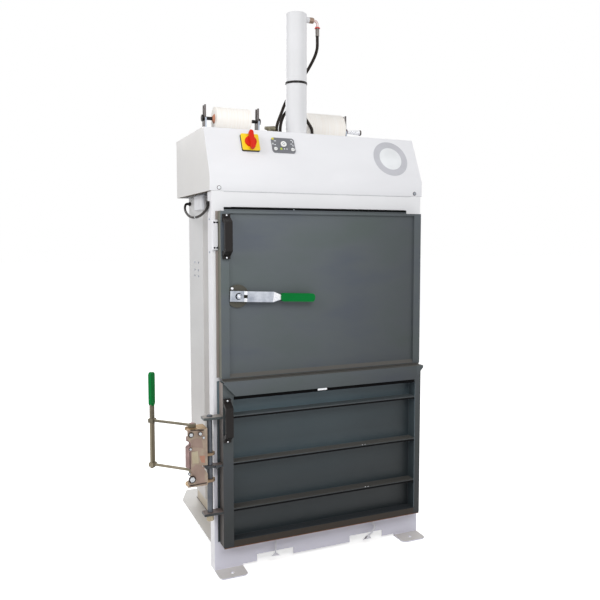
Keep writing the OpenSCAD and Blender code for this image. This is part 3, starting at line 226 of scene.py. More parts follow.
def powder_coat(name, colour, roughness=0.42, gloss=0.5, falls=(), crosses=(), clouds=()):
    """Sprayed and baked paint: faint cloudiness and a fine orange peel. falls gives
    (height in metres, factor or colour) and crosses (metres from the middle, factor): painted
    light and shade up and across the machine. clouds gives the tones that drift over the paint."""
    s = Shader(name, colour, roughness, gloss=gloss)
    tones = clouds or (tint(colour, 1 - PAINT_MOTTLE), tint(colour, 1 + PAINT_MOTTLE))
    cloud = s.noise(PAINT_CLOUD, 4.0, (1, 1, 2.5))
    result = s.ramp(cloud, even_stops(tones, NOISE_LOW, NOISE_HIGH))
    if falls:
        result = s.multiply_along(result, UPWARD, 0.0, FALL_HEIGHT, falls)
    if crosses:
        result = s.multiply_along(result, ACROSS, -CROSS_REACH, CROSS_REACH, crosses)
    s.colour(result)
    s.vary_roughness(s.noise(PAINT_SHEEN, 2.0), roughness - 0.04, roughness + 0.05)
    s.bump(s.noise(PAINT_PEEL, 1.0), 0.05, PEEL_DEPTH)


def plated(name, colours, roughness, metallic=1.0, brush=(1, 1, 1), scale=30.0):
    """Plated steel: colour drifts between its tones, roughness follows a brushing."""
    s = Shader(name, colours[0], roughness, metallic)
    s.colour(s.ramp(s.noise(scale, 3.0), even_stops(colours, 0.25, 0.75)))
    s.vary_roughness(s.noise(METAL_BRUSH, 4.0, brush), roughness - 0.08, roughness + 0.1)
    s.bump(s.noise(METAL_GRAIN, 2.0, brush), 0.12, METAL_DEPTH)


def moulded(name, colour, roughness, gloss=0.5):
    """Moulded plastic, rubber or board with a fine grain."""
    s = Shader(name, colour, roughness, gloss=gloss)
    tones = (tint(colour, 0.93), tint(colour, 1.05))
    drift = s.noise(PLASTIC_TONE, 3.0)
    s.colour(s.ramp(drift, even_stops(tones, NOISE_LOW, NOISE_HIGH)))
    s.vary_roughness(s.noise(PLASTIC_SHEEN, 2.0), roughness - 0.05, roughness + 0.06)
    s.bump(s.noise(PLASTIC_GRAIN, 1.0), 0.2, PLASTIC_DEPTH)


def wound(name, colour, dark, turns):
    """Strapping wound on a roll: fine rings along the roll's axis."""
    s = Shader(name, colour, 0.5)
    rings = s.noise(turns, 2.0, (1, 0.02, 0.02))
    s.colour(s.ramp(rings, [(0.35, dark), (0.6, colour)]))
    s.bump(rings, 0.5, RING_DEPTH)


# ---------------------------------------------------------------- finishes
# The falls and crosses below are painted light and shade. The white paint, the walls and the
# base grow darker towards the floor, the walls also browner.
WHITE_FALLS = [(0.0, srgb(236, 235, 246)), (0.35, srgb(240, 240, 248)), (0.9, 1.0)]
WALL_FALLS = [(0.14, srgb(206, 194, 172)), (0.4, srgb(214, 206, 192)),
              (0.6, srgb(228, 224, 219)), (0.9, srgb(240, 238, 236)), (1.4, 1.0)]
BASE_FALLS = [(0.2, srgb(222, 217, 213)), (0.72, srgb(233, 231, 229)),
              (0.9, srgb(240, 240, 239)), (1.33, srgb(248, 248, 248)), (1.8, 1.0)]
# Painted light and shade across the round cylinder: lighter on its left, shaded in its middle
CYLINDER_CROSSES = [(-0.08, 1.06), (-0.03, 0.87), (0.08, 0.92)]
DOOR_CLOUDS = (srgb(90, 97, 107), srgb(97, 104, 108), srgb(92, 102, 101))
# Painted shade on the doors: darker towards the floor and towards the right, with a lighter
# strip on the right stile
DOOR_FALLS = [(0.12, 0.1), (0.3, 0.23), (0.45, 0.35), (0.6, 0.45), (0.72, 0.62), (0.78, 0.78),
              (0.85, 0.78), (1.15, 0.92), (1.42, 1.0)]
DOOR_CROSSES = [(-0.45, 1.0), (0.0, 0.86), (0.3, 0.64), (0.422, 0.56), (0.424, 0.74),
                (0.45, 0.74)]
# Painted light and shade on the lower door's recessed panels: darker towards the floor and to
# the right, lighter just above each rib
PANEL_FALLS = [(0.142, 0.21), (0.17, 0.15), (0.262, 0.18), (0.273, 0.45), (0.3, 0.29),
               (0.33, 0.24), (0.45, 0.32), (0.461, 0.85), (0.49, 0.54), (0.52, 0.42),
               (0.638, 0.5), (0.65, 1.4), (0.68, 1.1), (0.71, 1.15)]
PANEL_CROSSES = [(-0.45, 1.0), (0.05, 0.88), (0.2, 0.7), (0.32, 0.6), (0.4, 0.5)]
# Painted shade on the doors' side faces, ledges and recess sides: darker towards the floor
EDGE_FALLS = [(0.12, 0.2), (0.55, 0.32), (0.66, 0.7), (0.77, 0.9), (1.0, 1.0)]
LEDGE_FALLS = [(0.12, 0.44), (0.3, 0.62), (0.66, 0.9), (0.78, 0.7)]
RECESS_FALLS = [(0.12, 0.3), (0.4, 0.5), (0.7, 0.8)]


def make_paints():
    """Powder coats of the CAD parts, then of single faces and small pieces, many of them lighter
    and darker copies of the paints: painted light and shade.
    """
    powder_coat("white_paint", srgb(240, 240, 242), gloss=0.3, falls=WHITE_FALLS)
    powder_coat("body_paint", srgb(214, 212, 209), gloss=0.3)
    # A brighter white for the lit left wall: painted light, with painted shade towards the floor
    powder_coat("wall_paint", srgb(248, 248, 252), gloss=0.3, falls=WALL_FALLS)
    # Left faces of the base and the left side channel in a lit copy of the white: painted light,
    # with painted shade towards the floor
    powder_coat("base_side", srgb(220, 219, 219), gloss=0.3, falls=BASE_FALLS)
    # Upward faces at the frame's foot in a darker copy of the white: painted shade
    powder_coat("foot_face", srgb(204, 201, 198), gloss=0.3)
    # The cover's front and left side in lit and shaded copies of the white, and its underside
    # dark brown: painted light and shade
    powder_coat("cover_front", srgb(234, 234, 237), gloss=0.3)
    powder_coat("cover_side", srgb(220, 218, 216), gloss=0.3)
    powder_coat("cover_under", srgb(78, 68, 54), 0.6, gloss=0.1)
    # The posts' left sides in a lit copy of the white: painted light
    powder_coat("post_side", srgb(236, 235, 238), gloss=0.3)
    powder_coat("cylinder_paint", srgb(238, 238, 240), gloss=0.15, crosses=CYLINDER_CROSSES)
    powder_coat("tank_paint", srgb(90, 102, 110))
    powder_coat("motor_paint", srgb(56, 84, 108))
    powder_coat("platen_paint", srgb(82, 88, 92))
    powder_coat("dark_disc", srgb(66, 64, 54), 0.5)
    # The doors and their recessed panels, with painted shade from their falls and crosses
    powder_coat("door_paint", srgb(96, 103, 107), 0.4, gloss=0.4, falls=DOOR_FALLS,
                crosses=DOOR_CROSSES, clouds=DOOR_CLOUDS)
    powder_coat("door_panel", srgb(82, 98, 105), gloss=0.4, falls=PANEL_FALLS,
                crosses=PANEL_CROSSES)
    # The doors' left side faces and the back plate's edges in warm lit tones: painted reflected
    # light
    powder_coat("door_edge", srgb(152, 142, 136), 0.5, gloss=0.3, falls=EDGE_FALLS)
    powder_coat("edge_olive", srgb(112, 112, 102), 0.5, gloss=0.3)
    # Upward faces of the doors and the chute, and a band on the upper door's foot, brown with
    # painted warm reflected light
    powder_coat("door_ledge", srgb(98, 96, 92), 0.5, gloss=0.3, falls=LEDGE_FALLS)
    # The top of the highest rib in a lit copy, the top of the lowest rail in a dark one: painted
    # light and shade
    powder_coat("ledge_top", srgb(84, 90, 92), 0.5, gloss=0.3)
    powder_coat("ledge_low", srgb(48, 52, 55), 0.5, gloss=0.2)
    # The right sides of the lower door's recess in a lit copy: painted light, with painted shade
    # towards the floor
    powder_coat("recess_side", srgb(86, 98, 104), gloss=0.4, falls=RECESS_FALLS)
    powder_coat("rust_line", srgb(122, 74, 44), 0.6, gloss=0.2)
    # The lower door's foot rail in dark brown: painted shade with warm reflected light
    powder_coat("rail_brown", srgb(56, 49, 43), 0.5, gloss=0.2)
    # A painted highlight along the right stile's edge
    powder_coat("stile_light", srgb(100, 112, 120), 0.4, gloss=0.3)
    # Upward faces of the lock's brackets, lighter above and darker below: painted light and
    # shade
    powder_coat("bracket_top", srgb(140, 134, 128), 0.5)
    powder_coat("bracket_low", srgb(100, 88, 84), 0.5)


def make_metals():
    """Plated, passivated and bare steel."""
    plated("bare_steel", [srgb(76, 80, 88), srgb(100, 104, 110)], 0.45, 0.4)
    plated("zinc", [srgb(150, 156, 168), srgb(206, 210, 218)], 0.34, brush=(4, 1, 1))
    # Bright zinc of screws, rivets, rods and the chute's tab, and painted highlights on the
    # latch's lever
    plated("zinc_and_highlight", [srgb(236, 238, 244), srgb(252, 252, 254)], 0.3, 0.3)
    plated("yellow_zinc", [srgb(168, 140, 100), srgb(134, 112, 92), srgb(150, 128, 96)], 0.45,
           0.5)
    plated("gold_plate", [srgb(182, 152, 108), srgb(148, 120, 86)], 0.45, 0.4)
    plated("bracket_zinc", [srgb(172, 182, 198), srgb(196, 204, 216)], 0.5, 0.2)
    # The forks' prongs, darker than their feet: painted shade
    plated("prong_dark", [srgb(62, 54, 50), srgb(110, 104, 104)], 0.5, 0.3)
    plated("lever_steel", [srgb(120, 112, 92), srgb(142, 132, 112)], 0.5, 0.3,
           brush=(1, 1, 0.2), scale=12.0)
    plated("arm_dark", [srgb(92, 86, 70), srgb(122, 114, 96)], 0.5, 0.2)
    plated("lock_face", [srgb(158, 134, 122), srgb(166, 150, 132), srgb(136, 112, 100)], 0.5,
           0.3, scale=16.0)
    plated("lock_beige", [srgb(196, 184, 158), srgb(172, 158, 132)], 0.5, 0.1)
    plated("lock_orange", [srgb(186, 132, 108), srgb(160, 118, 98)], 0.5, 0.1)
    plated("lock_low", [srgb(140, 118, 106), srgb(160, 136, 124)], 0.5, 0.1)
    plated("bolt_zinc", [srgb(120, 120, 124), srgb(214, 218, 222), srgb(160, 162, 166)], 0.35,
           0.3, scale=160.0)
    plated("mauve_steel", [srgb(122, 96, 92), srgb(160, 132, 128)], 0.42, 0.4)
    plated("olive_metal", [srgb(96, 90, 72), srgb(140, 134, 112)], 0.45, 0.3)
    plated("ferrule_grey", [srgb(84, 78, 74), srgb(140, 134, 130)], 0.45, 0.4)
    plated("pink_metal", [srgb(196, 170, 166), srgb(226, 206, 204)], 0.4, 0.3)
    plated("nut_brown", [srgb(128, 104, 88), srgb(164, 140, 124)], 0.4, 0.4)
    # Dark screws, washers and spindle ends, and lines and patches of painted shade at the wall's
    # foot and on the strap
    plated("screw_dark", [srgb(70, 64, 64), srgb(104, 96, 94)], 0.4)


def make_plastics():
    """Plastic, rubber, board and the film wound on the strap rolls."""
    wound("strap_film", srgb(255, 252, 247), srgb(250, 244, 236), 420.0)
    moulded("black_plastic", srgb(22, 18, 17), 0.5, gloss=0.25)
    moulded("green_grip", srgb(0, 116, 50), 0.5, gloss=0.12)
    moulded("hose_rubber", srgb(34, 27, 22), 0.55, gloss=0.2)
    moulded("red_handle", srgb(214, 36, 12), 0.4, gloss=0.25)
    # Black of the seal, screws, sockets and notch, and painted shadow in gaps, under the ribs
    # and under the chute
    moulded("gap_black", srgb(10, 10, 12), 0.8, gloss=0.1)
    moulded("lock_shadow", srgb(58, 48, 42), 0.6, gloss=0.2)
    for name, colour, roughness in (
            ("yellow_plate", srgb(250, 216, 24), 0.35),
            ("button_white", srgb(240, 240, 238), 0.3),
            ("panel_grey", srgb(112, 113, 118), 0.45),
            ("switch_white", srgb(238, 238, 242), 0.4),
            ("strap_tape", srgb(214, 214, 220), 0.4),
            ("lamp_yellow", srgb(222, 214, 60), 0.3),
            ("lamp_green", srgb(190, 206, 70), 0.3),
            ("print_white", srgb(236, 238, 240), 0.4),
            ("core_board", srgb(196, 132, 104), 0.7),
            ("tag_white", srgb(232, 235, 238), 0.4),
            ("tag_grey", srgb(150, 156, 164), 0.4),
            ("tag_seam", srgb(206, 206, 210), 0.5),
            ("ring_red", srgb(214, 46, 36), 0.35),
            ("knob_tip", srgb(84, 58, 74), 0.4),
            ("disc_grey", srgb(196, 196, 202), 0.4)):
        moulded(name, colour, roughness)


# ---------------------------------------------------------------- cords
def spline(points, steps=3):
    """The smooth line through points, with steps from one to the next."""
    line = []
    last = len(points) - 1
    for i in range(last):
        p0, p1 = points[max(i - 1, 0)], points[i]
        p2, p3 = points[i + 1], points[min(i + 2, last)]
        for k in range(steps):
            t = k / steps
            line.append(0.5 * (2 * p1 + (p2 - p0) * t + (2 * p0 - 5 * p1 + 4 * p2 - p3) * t * t
                               + (3 * p1 - p0 - 3 * p2 + p3) * t * t * t))
    line.append(points[last])
    return line


def tube(name, line, diameter, finish, taper=0.0):
    """A round curve along line, in metres; taper is the part of its width lost by its end."""
    data = bpy.data.curves.new(name, "CURVE")
    data.dimensions = "3D"
    data.bevel_depth = diameter / 2
    data.bevel_resolution = 5
    data.use_fill_caps = True
    run = data.splines.new("POLY")
    run.points.add(len(line) - 1)
    for i, p in enumerate(line):
        run.points[i].co = (*p, 1)
        run.points[i].radius = 1.0 - taper * i / (len(line) - 1)
    data.materials.append(MATERIALS[finish])
    piece = bpy.data.objects.new(name, data)
    bpy.context.scene.collection.objects.link(piece)
    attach(piece, "frame")
    return piece


def cord(node, route, diameter):
    """A hose or lead whose both ends go back into the machine, along its solid's route."""
    line = spline([spot(*p) for p in route])
    piece = tube(node + "_line", line, diameter * MM, "hose_rubber")
    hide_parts(node)


HOSE, LEAD, BOOT = 14, 10.5, 13.2  # diameters
HOSE_FOOT = 1830
FERRULE_X, FERRULE_Y, FERRULE_END = 104.5, 285, 2265


def fall(k):
    """Height on the hoses' way from the cover's fittings, 0, to the ferrule, 1."""
    return HOSE_FOOT + k * (FERRULE_END - HOSE_FOOT)


PRESSURE_ROUTE = [
    (FERRULE_X, FERRULE_Y, FERRULE_END), (FERRULE_X, FERRULE_Y, FERRULE_END - 8),
    (FERRULE_X, FERRULE_Y, FERRULE_END - 16), (106, 290, fall(0.88)), (100, 306, fall(0.795)),
    (80, 336, fall(0.675)), (50, 352, fall(0.565)), (16, 356, fall(0.46)),
    (-12, 352, fall(0.37)), (-31, 344, fall(0.305)), (-60, 323, fall(0.18)),
    (-80, 307, fall(0.095)), (-89, 300, HOSE_FOOT + 16), (-89, 300, HOSE_FOOT + 8),
    (-89, 300, HOSE_FOOT)]
RETURN_ROUTE = [
    (-58, 335, HOSE_FOOT), (-58, 335, HOSE_FOOT + 8), (-58, 335, HOSE_FOOT + 16),
    (-55, 337, fall(0.08)), (-46, 342, fall(0.14)), (-28, 348, fall(0.21)),
    (2, 352, fall(0.25)), (38, 352, fall(0.24)), (66, 348, fall(0.19)),
    (86, 341, fall(0.12)), (98, 336, fall(0.07)), (101, 334, HOSE_FOOT + 16),
    (101, 334, HOSE_FOOT + 8), (101, 334, HOSE_FOOT)]
LEAD_ROUTE = [
    (-486.5, 30, 1486), (-486.5, 30, 1482), (-486.5, 30, 1478), (-487.5, 36, 1468),
    (-488.5, 52, 1459), (-488.5, 84, 1451), (-489.5, 133, 1441), (-489.5, 221, 1436),
    (-484.5, 331, 1444), (-477.5, 422, 1465), (-469, 476, 1485), (-461, 494, 1502),
    (-453, 498, 1506), (-449, 498, 1506), (-445, 498, 1506)]
BOOT_TAPER = 0.16
BOOT_POINTS, REAR_BOOT_POINTS = 12, 9  # points of the lead's line that each boot covers


def boot(name, line):
    """The tapered sleeve round an end of the lead, where it leaves its gland."""
    piece = tube(name, line, BOOT * MM, "black_plastic", BOOT_TAPER)
    return piece


def make_cords():
    cord("pressure_hose", PRESSURE_ROUTE, HOSE)
    cord("return_hose", RETURN_ROUTE, HOSE)
    lead = spline([spot(*p) for p in LEAD_ROUTE])
    boots = [boot("lead_boot", lead[:BOOT_POINTS]),
             boot("lead_boot_rear", lead[::-1][:REAR_BOOT_POINTS])]
    cord("switch_cable", LEAD_ROUTE, LEAD)


# ---------------------------------------------------------------- meshes
BEVEL_FROM = math.radians(28)  # an edge turns at least this far to be rounded
SHARP_FROM = math.radians(50)  # and this far to show as an edge in the shading
PLATE_EDGE, BOLT_EDGE = 0.2, 0.3  # rounding of their edges


def link_mesh(name, mesh, finishes, body):
    """A mesh object from a bmesh, smooth but for its sharp edges, riding on a body."""
    data = bpy.data.meshes.new(name)
    mesh.to_mesh(data)
    mesh.free()
    for finish in finishes:
        data.materials.append(MATERIALS[finish])
    for face in data.polygons:
        face.use_smooth = True
    data.set_sharp_from_angle(angle=SHARP_FROM)
    piece = bpy.data.objects.new(name, data)
    bpy.context.scene.collection.objects.link(piece)
    normals = piece.modifiers.new("normals", "WEIGHTED_NORMAL")
    normals.keep_sharp = True
    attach(piece, body)
    return piece


def soften(mesh, width):
    """Rounds a mesh's sharp edges by width, in millimetres."""
    sharp = [e for e in mesh.edges if e.is_manifold and e.calc_face_angle(0.0) > BEVEL_FROM]
    bmesh.ops.bevel(mesh, geom=sharp, offset=width * MM, offset_type="OFFSET", segments=2,
                    profile=0.5, affect="EDGES", clamp_overlap=True, material=-1)


def circle(mesh, at, turned, radius, height, sides):
    """Vertices round a circle about the turned axis through at, at a height along it."""
    points = []
    for k in range(sides):
        a = 2 * math.pi * k / sides
        point = Vector((radius * math.cos(a), radius * math.sin(a), height))
        points.append(mesh.verts.new(at + turned @ point * MM))
    return points


def join(mesh, low, high):
    """Faces all round, from one closed run of vertices to the next."""
    for k in range(len(low)):
        n = (k + 1) % len(low)
        mesh.faces.new((low[k], low[n], high[n], high[k]))


def stack(mesh, rings):
    """Faces from each run of vertices to the next, and one over each end."""
    for low, high in zip(rings, rings[1:]):
        join(mesh, low, high)
    mesh.faces.new(rings[0][::-1])
    mesh.faces.new(rings[-1])


def lathe(name, profile, at, axis, finish, body, sides=24, edge=0.0):
    """A turned piece. profile is (radius, height) from its foot along axis, and edge the
    rounding of its edges."""
    mesh = bmesh.new()
    turned = axis.to_track_quat("Z", "Y").to_matrix()
    stack(mesh, [circle(mesh, at, turned, radius, height, sides) for radius, height in profile])
    if edge:
        soften(mesh, edge)
    return link_mesh(name, mesh, [finish], body)


def ring(name, outer, inner, thick, at, axis, finish, body, sides=32):
    """A flat ring or washer with a chamfered rim."""
    mesh = bmesh.new()
    turned = axis.to_track_quat("Z", "Y").to_matrix()
    profile = [(inner, 0), (outer, 0), (outer, thick * 0.7), (outer - thick * 0.3, thick),
               (inner, thick)]
    rings = [circle(mesh, at, turned, radius, height, sides) for radius, height in profile]
    for low, high in zip(rings, rings[1:] + rings[:1]):
        join(mesh, low, high)
    return link_mesh(name, mesh, [finish], body)


def plate(name, outline, at, across, up, depth, finish, body):
    """A flat piece: outline is along across and up from at, and depth its thickness, with
    its back against the plane that the two directions span."""
    mesh = bmesh.new()
    out = across.cross(up).normalized()
    low = [mesh.verts.new(at + (across * x + up * y) * MM) for x, y in outline]
    high = [mesh.verts.new(v.co + out * depth * MM) for v in low]
    mesh.faces.new(low[::-1])
    mesh.faces.new(high)
    join(mesh, low, high)
    bmesh.ops.recalc_face_normals(mesh, faces=mesh.faces)
    soften(mesh, PLATE_EDGE)
    return link_mesh(name, mesh, [finish], body)


def box_outline(left, low, right, top):
    return [(left, low), (right, low), (right, top), (left, top)]


def front_plate(name, outline, front, depth, finish, body):
    """A plate that faces the front, its outline in places on the machine."""
    plate(name, outline, spot(0, front, 0), RIGHT, UP, depth, finish, body)


def ribbon(name, points, width, thick, finish):
    """A flat strap through points, its width kept level."""
    mesh = bmesh.new()
    line = spline([spot(*p) for p in points], 4)
    rings = []
    for i, p in enumerate(line):
        run = (line[min(i + 1, len(line) - 1)] - line[max(i - 1, 0)]).normalized()
        across = (RIGHT - run * RIGHT.dot(run)).normalized()
        out = run.cross(across)
        rings.append([mesh.verts.new(p + (across * a * width / 2 + out * b * thick / 2) * MM)
                      for a, b in ((-1, -1), (1, -1), (1, 1), (-1, 1))])
    stack(mesh, rings)
    bmesh.ops.recalc_face_normals(mesh, faces=mesh.faces)
    return link_mesh(name, mesh, [finish], "frame")


def bolt(name, at, axis, width, height, finish, body, lift=0.0):
    """A hexagon head with a turned chamfer. lift leaves room for a dark ring of painted shadow
    under it.
    """
    r = width / 2 / math.cos(math.pi / 6)
    profile = [(r, lift), (r, lift + height * 0.8), (r * 0.86, lift + height),
               (r * 0.4, lift + height * 1.02)]
    lathe(name, profile, at, axis, finish, body, 6, BOLT_EDGE)


def screw(name, at, axis, width, finish, body):
    """A low domed head with a dark socket."""
    r = width / 2
    lathe(name, [(r, 0), (r, r * 0.3), (r * 0.8, r * 0.55), (r * 0.4, r * 0.68)], at, axis,
          finish, body, 16)
    lathe(name + "_socket", [(r * 0.34, r * 0.66), (r * 0.3, r * 0.74)], at, axis,
          "gap_black", body, 6)


# ---------------------------------------------------------------- small pieces
UPPER_FRONT, LOWER_FRONT, CHUTE_FRONT = -42, -54, -75
SEAL_FRONT = -2.5
# The left and right inner edges of the lower door's stiles
STILE_LEFT, STILE_RIGHT = -414, 427
HANDLE_PAD = 16  # how far a handle's foot stands out from its door
HANDLE_REACH = 81.5  # from a handle's middle up or down to a screw
HANDLES = [("upper_door", -437, UPPER_FRONT, 1355), ("lower_door", -442.5, LOWER_FRONT, 633)]
RIB_TOPS = (273, 461, 650)
# Flat lines and marks: name, left, low, right, top, front, thickness, finish, body
# The lines under the chute and under the ribs are painted shadow, the foot rail's dark brown is
# painted shade with warm reflected light, and the line on the right stile is a painted
# highlight.
LOWER_DOOR_LINES = [
    ("chute_shadow", -412, 713, 425, 725, LOWER_FRONT, 0.8, "gap_black", "lower_door"),
    *[(f"rib_shadow_{z}", STILE_LEFT - 0.2, z - 12, STILE_RIGHT + 0.2, z - 4.8, LOWER_FRONT + 2,
       1.2, "gap_black", "lower_door") for z in RIB_TOPS],
    ("door_foot_rust", -456.4, 112.3, 456.4, 114.6, LOWER_FRONT, 0.6, "rust_line",
     "lower_door"),
    ("door_foot_rail", STILE_LEFT, 114.8, STILE_RIGHT, 141, LOWER_FRONT, 0.5, "rail_brown",
     "lower_door"),
    ("stile_edge", 427.8, 145, 429.6, 706, LOWER_FRONT, 0.4, "stile_light", "lower_door"),
]
SEAMS = [
    # A band of painted warm reflected light along the upper door's foot, in the ledges' brown
    ("door_foot_lit_band", -455, 791, 455, 797, UPPER_FRONT + 2, 1.2, "door_ledge", "upper_door"),
    ("seal_lip", -431, 1457, 406, 1462.5, SEAL_FRONT, 0.8, "door_paint", "frame"),
    ("cover_seam", -431, 1531, 431, 1534, 0, 0.6, "tag_seam", "frame"),
]
SMALL_MARKS = [
    ("chute_tab", -57, 722.4, -15, 730, CHUTE_FRONT, 0.9, "zinc_and_highlight", "lower_door"),
    ("chute_notch", -15, 724, -9, 732, CHUTE_FRONT, 0.7, "gap_black", "lower_door"),
    ("seal_mark", -134.5, 1460, -130.5, 1468, SEAL_FRONT, 0.6, "tag_grey", "frame"),
]
RIVETS = [  # name, across, height
    ("rib_rivet_mid", 165, 461.5), ("rib_rivet_mid_b", 178, 461.5),
    ("rib_rivet_low", 182, 273.5), ("rib_rivet_low_b", 195, 273.5)]
COVER_SCREW_X, COVER_SCREW_Z = 449, 1546


def front_lines(lines):
    for name, left, low, right, top, front, thick, finish, body in lines:
        front_plate(name, box_outline(left, low, right, top), front, thick, finish, body)


def door_details():
    """The handles' screws, the doors' dark and bright lines, most of them painted shadow, shade,
    light and highlight, and the cover's screws.
    """
    for door, x, front, z in HANDLES:
        for side, name in ((1, "top"), (-1, "low")):
            at = spot(x, front - HANDLE_PAD, z + side * HANDLE_REACH)
            screw(f"{door}_handle_screw_{name}", at, OUT, 7, "zinc_and_highlight", door)
    front_lines(LOWER_DOOR_LINES)
    for name, x, z in RIVETS:
        lathe(name, [(1.6, 0), (1.4, 0.6), (0.8, 1.0)], spot(x, LOWER_FRONT, z), OUT,
              "zinc_and_highlight", "lower_door", 10)
    front_lines(SEAMS)
    for side, core in ((-1, "tag_white"), (1, "tag_grey")):
        at = spot(side * COVER_SCREW_X, 0, COVER_SCREW_Z)
        ring(f"cover_washer_{side + 1}", 8.5, 4, 1.0, at, OUT, "screw_dark", "frame")
        lathe(f"cover_screw_{side + 1}", [(6.6, 0.6), (6.6, 3), (5, 4.2), (2, 4.8)], at, OUT,
              core, "frame")
    front_lines(SMALL_MARKS)


LATCH_X, LATCH_Z = -388, 1121
LATCH_HUB_FRONT, LATCH_LEVER_FRONT = -52, -61
LATCH_DROOP = math.radians(2.6)  # how far the lever hangs below level at rest


def latch_details():
    """The latch's bolt on a dark ring of painted shadow, a painted highlight on its lever's
    taper, and the stop on its disc.
    """
    hub = spot(LATCH_X, LATCH_HUB_FRONT, LATCH_Z)
    # A dark ring of painted shadow under the bolt's head
    ring("latch_bolt_shadow", 13.5, 3.6, 1.4, hub, OUT, "gap_black", "latch")
    bolt("latch_bolt", hub, OUT, 18, 8, "zinc", "latch", 1.2)
    lathe("latch_bolt_end", [(5, 0), (5, 10), (3.6, 11.5), (1.5, 11.8)], hub, OUT,
          "zinc_and_highlight", "latch", 20)
    along = Matrix.Rotation(LATCH_DROOP, 3, "Y") @ RIGHT
    # A painted highlight on the lever's taper
    plate("latch_taper_highlight", [(140, -20), (146, 20), (173.5, 9.2), (173.5, -9.2)],
          spot(LATCH_X, LATCH_LEVER_FRONT, LATCH_Z), along, OUT.cross(along), 0.4,
          "zinc_and_highlight", "latch")
    lathe("disc_stop", [(5.5, 0), (5.5, 7), (4, 9.5), (1.5, 10.3)],
          spot(LATCH_X - 25, UPPER_FRONT + 1, LATCH_Z + 31), OUT, "zinc_and_highlight",
          "upper_door", 20)


LOCK_FRONT, CHEEK_FRONT = -70, -64
# Depth of the dark rings of painted shadow under the lock's bolts, and the bolts' lift over them
SHADOW_RING_DEPTH, BOLT_LIFT = 1.0, 0.8
LOCK_BOLTS = [  # across, height, width of the head, radius of the dark ring of painted shadow under it
    (-589, 596, 13, 11), (-553, 597, 11, 8.5), (-592, 541, 8, 7), (-598, 445, 8, 6),
    (-586, 421, 18, 15)]
# The faces in the lock's shadow colour are painted shadow: under the top plate, down the side
# and along the foot
LOCK_FACES = [  # name, outline, thickness, finish
    ("lock_top_shadow", [(-590, 616), (-537, 610), (-537, 606.5), (-590, 612)], 2.4,
     "lock_shadow"),
    ("lock_side_shadow", [(-594.5, 528), (-591.5, 528), (-591.5, 462), (-594.5, 460)], 1.2,
     "lock_shadow"),
    ("lock_middle", [(-586, 527), (-562, 529), (-559, 480), (-584, 482)], 1.0, "lock_beige"),
    ("lock_tab", [(-556, 508), (-534, 507), (-534, 478), (-548, 482)], 1.4, "lock_orange"),
    ("lock_low", [(-592, 460), (-570, 476), (-536, 462), (-536, 400), (-572, 400)], 0.8,
     "lock_low"),
    ("lock_cover", [(-590, 574), (-566, 580), (-546, 574), (-540, 536), (-586, 548)], 0.8,
     "lock_low"),
    ("lock_foot_line", [(-596, 397), (-527, 400), (-527, 396.5), (-592, 393.5)], 1.6,
     "lock_shadow"),
]


def lock_details():
    """Bolts on dark rings of painted shadow, lines of painted shadow, and the faces of different
    tones on the lower door's lock.
    """
    for i, (x, z, width, shadow_radius) in enumerate(LOCK_BOLTS):
        at = spot(x, LOCK_FRONT, z)
        ring(f"lock_bolt_shadow_{i}", shadow_radius, width * 0.3, SHADOW_RING_DEPTH, at, OUT, "lock_shadow", "lock")
        bolt(f"lock_bolt_{i}", at + OUT * BOLT_LIFT * MM, OUT, width, 4, "bolt_zinc", "lock")
    for name, outline, depth, finish in LOCK_FACES:
        front_plate(name, outline, CHEEK_FRONT, depth, finish, "lock")
    lathe("lock_stop", [(5, 0), (5, 5), (3.5, 7)], spot(-539, CHEEK_FRONT, 579), OUT,
          "bolt_zinc", "lock", 16)


# The cover's slope rises from its fold towards the back
FOLD_Z = 1598
SLOPE = Vector((0, 86, 194)).normalized()
SLOPE_OUT = RIGHT.cross(SLOPE)
MARKS = [  # name, across, up the slope, width, height, finish
    ("panel_lamp_top", -199, 174, 9, 9, "lamp_yellow"),
    ("panel_lamp_low", -167, 128, 9, 9, "lamp_green"),
    ("panel_mark_a", -190, 164, 9, 3, "print_white"),
    ("panel_mark_b", -201, 150, 4, 7, "print_white"),
    ("panel_mark_c", -192, 146, 7, 3, "print_white"),
    ("panel_mark_d", -153, 128, 5, 4, "print_white"),
    ("panel_mark_e", -142, 128, 5, 4, "print_white"),
    ("panel_mark_f", -116, 171, 8, 3, "print_white"),
    ("panel_mark_g", -111, 164, 3, 8, "print_white"),
    ("panel_mark_h", -119, 153, 7, 3, "print_white"),
    ("panel_mark_i", -112, 146, 3, 8, "print_white"),
]
MARK_DEPTH, SYMBOL_DEPTH = 0.7, 0.5
PANEL_FACE, BUTTON_FACE = 4, 9.9  # how far they stand out from the slope
SYMBOLS = [  # name, across, up the slope, outer and inner radius, body
    ("start_symbol", -155, 149, 6, 4, "start_button"),
    ("left_symbol", -193, 125, 3.4, 2.2, "left_button"),
    ("right_symbol", -117, 125, 3.4, 2.2, "right_button"),
]
DISC_X, DISC_S = 351, 110.5


def slope_spot(x, s, out=0.0):
    """A place on the cover's slope: from the middle, and up from the fold."""
    return spot(x, 0, FOLD_Z) + (SLOPE * s + SLOPE_OUT * out) * MM


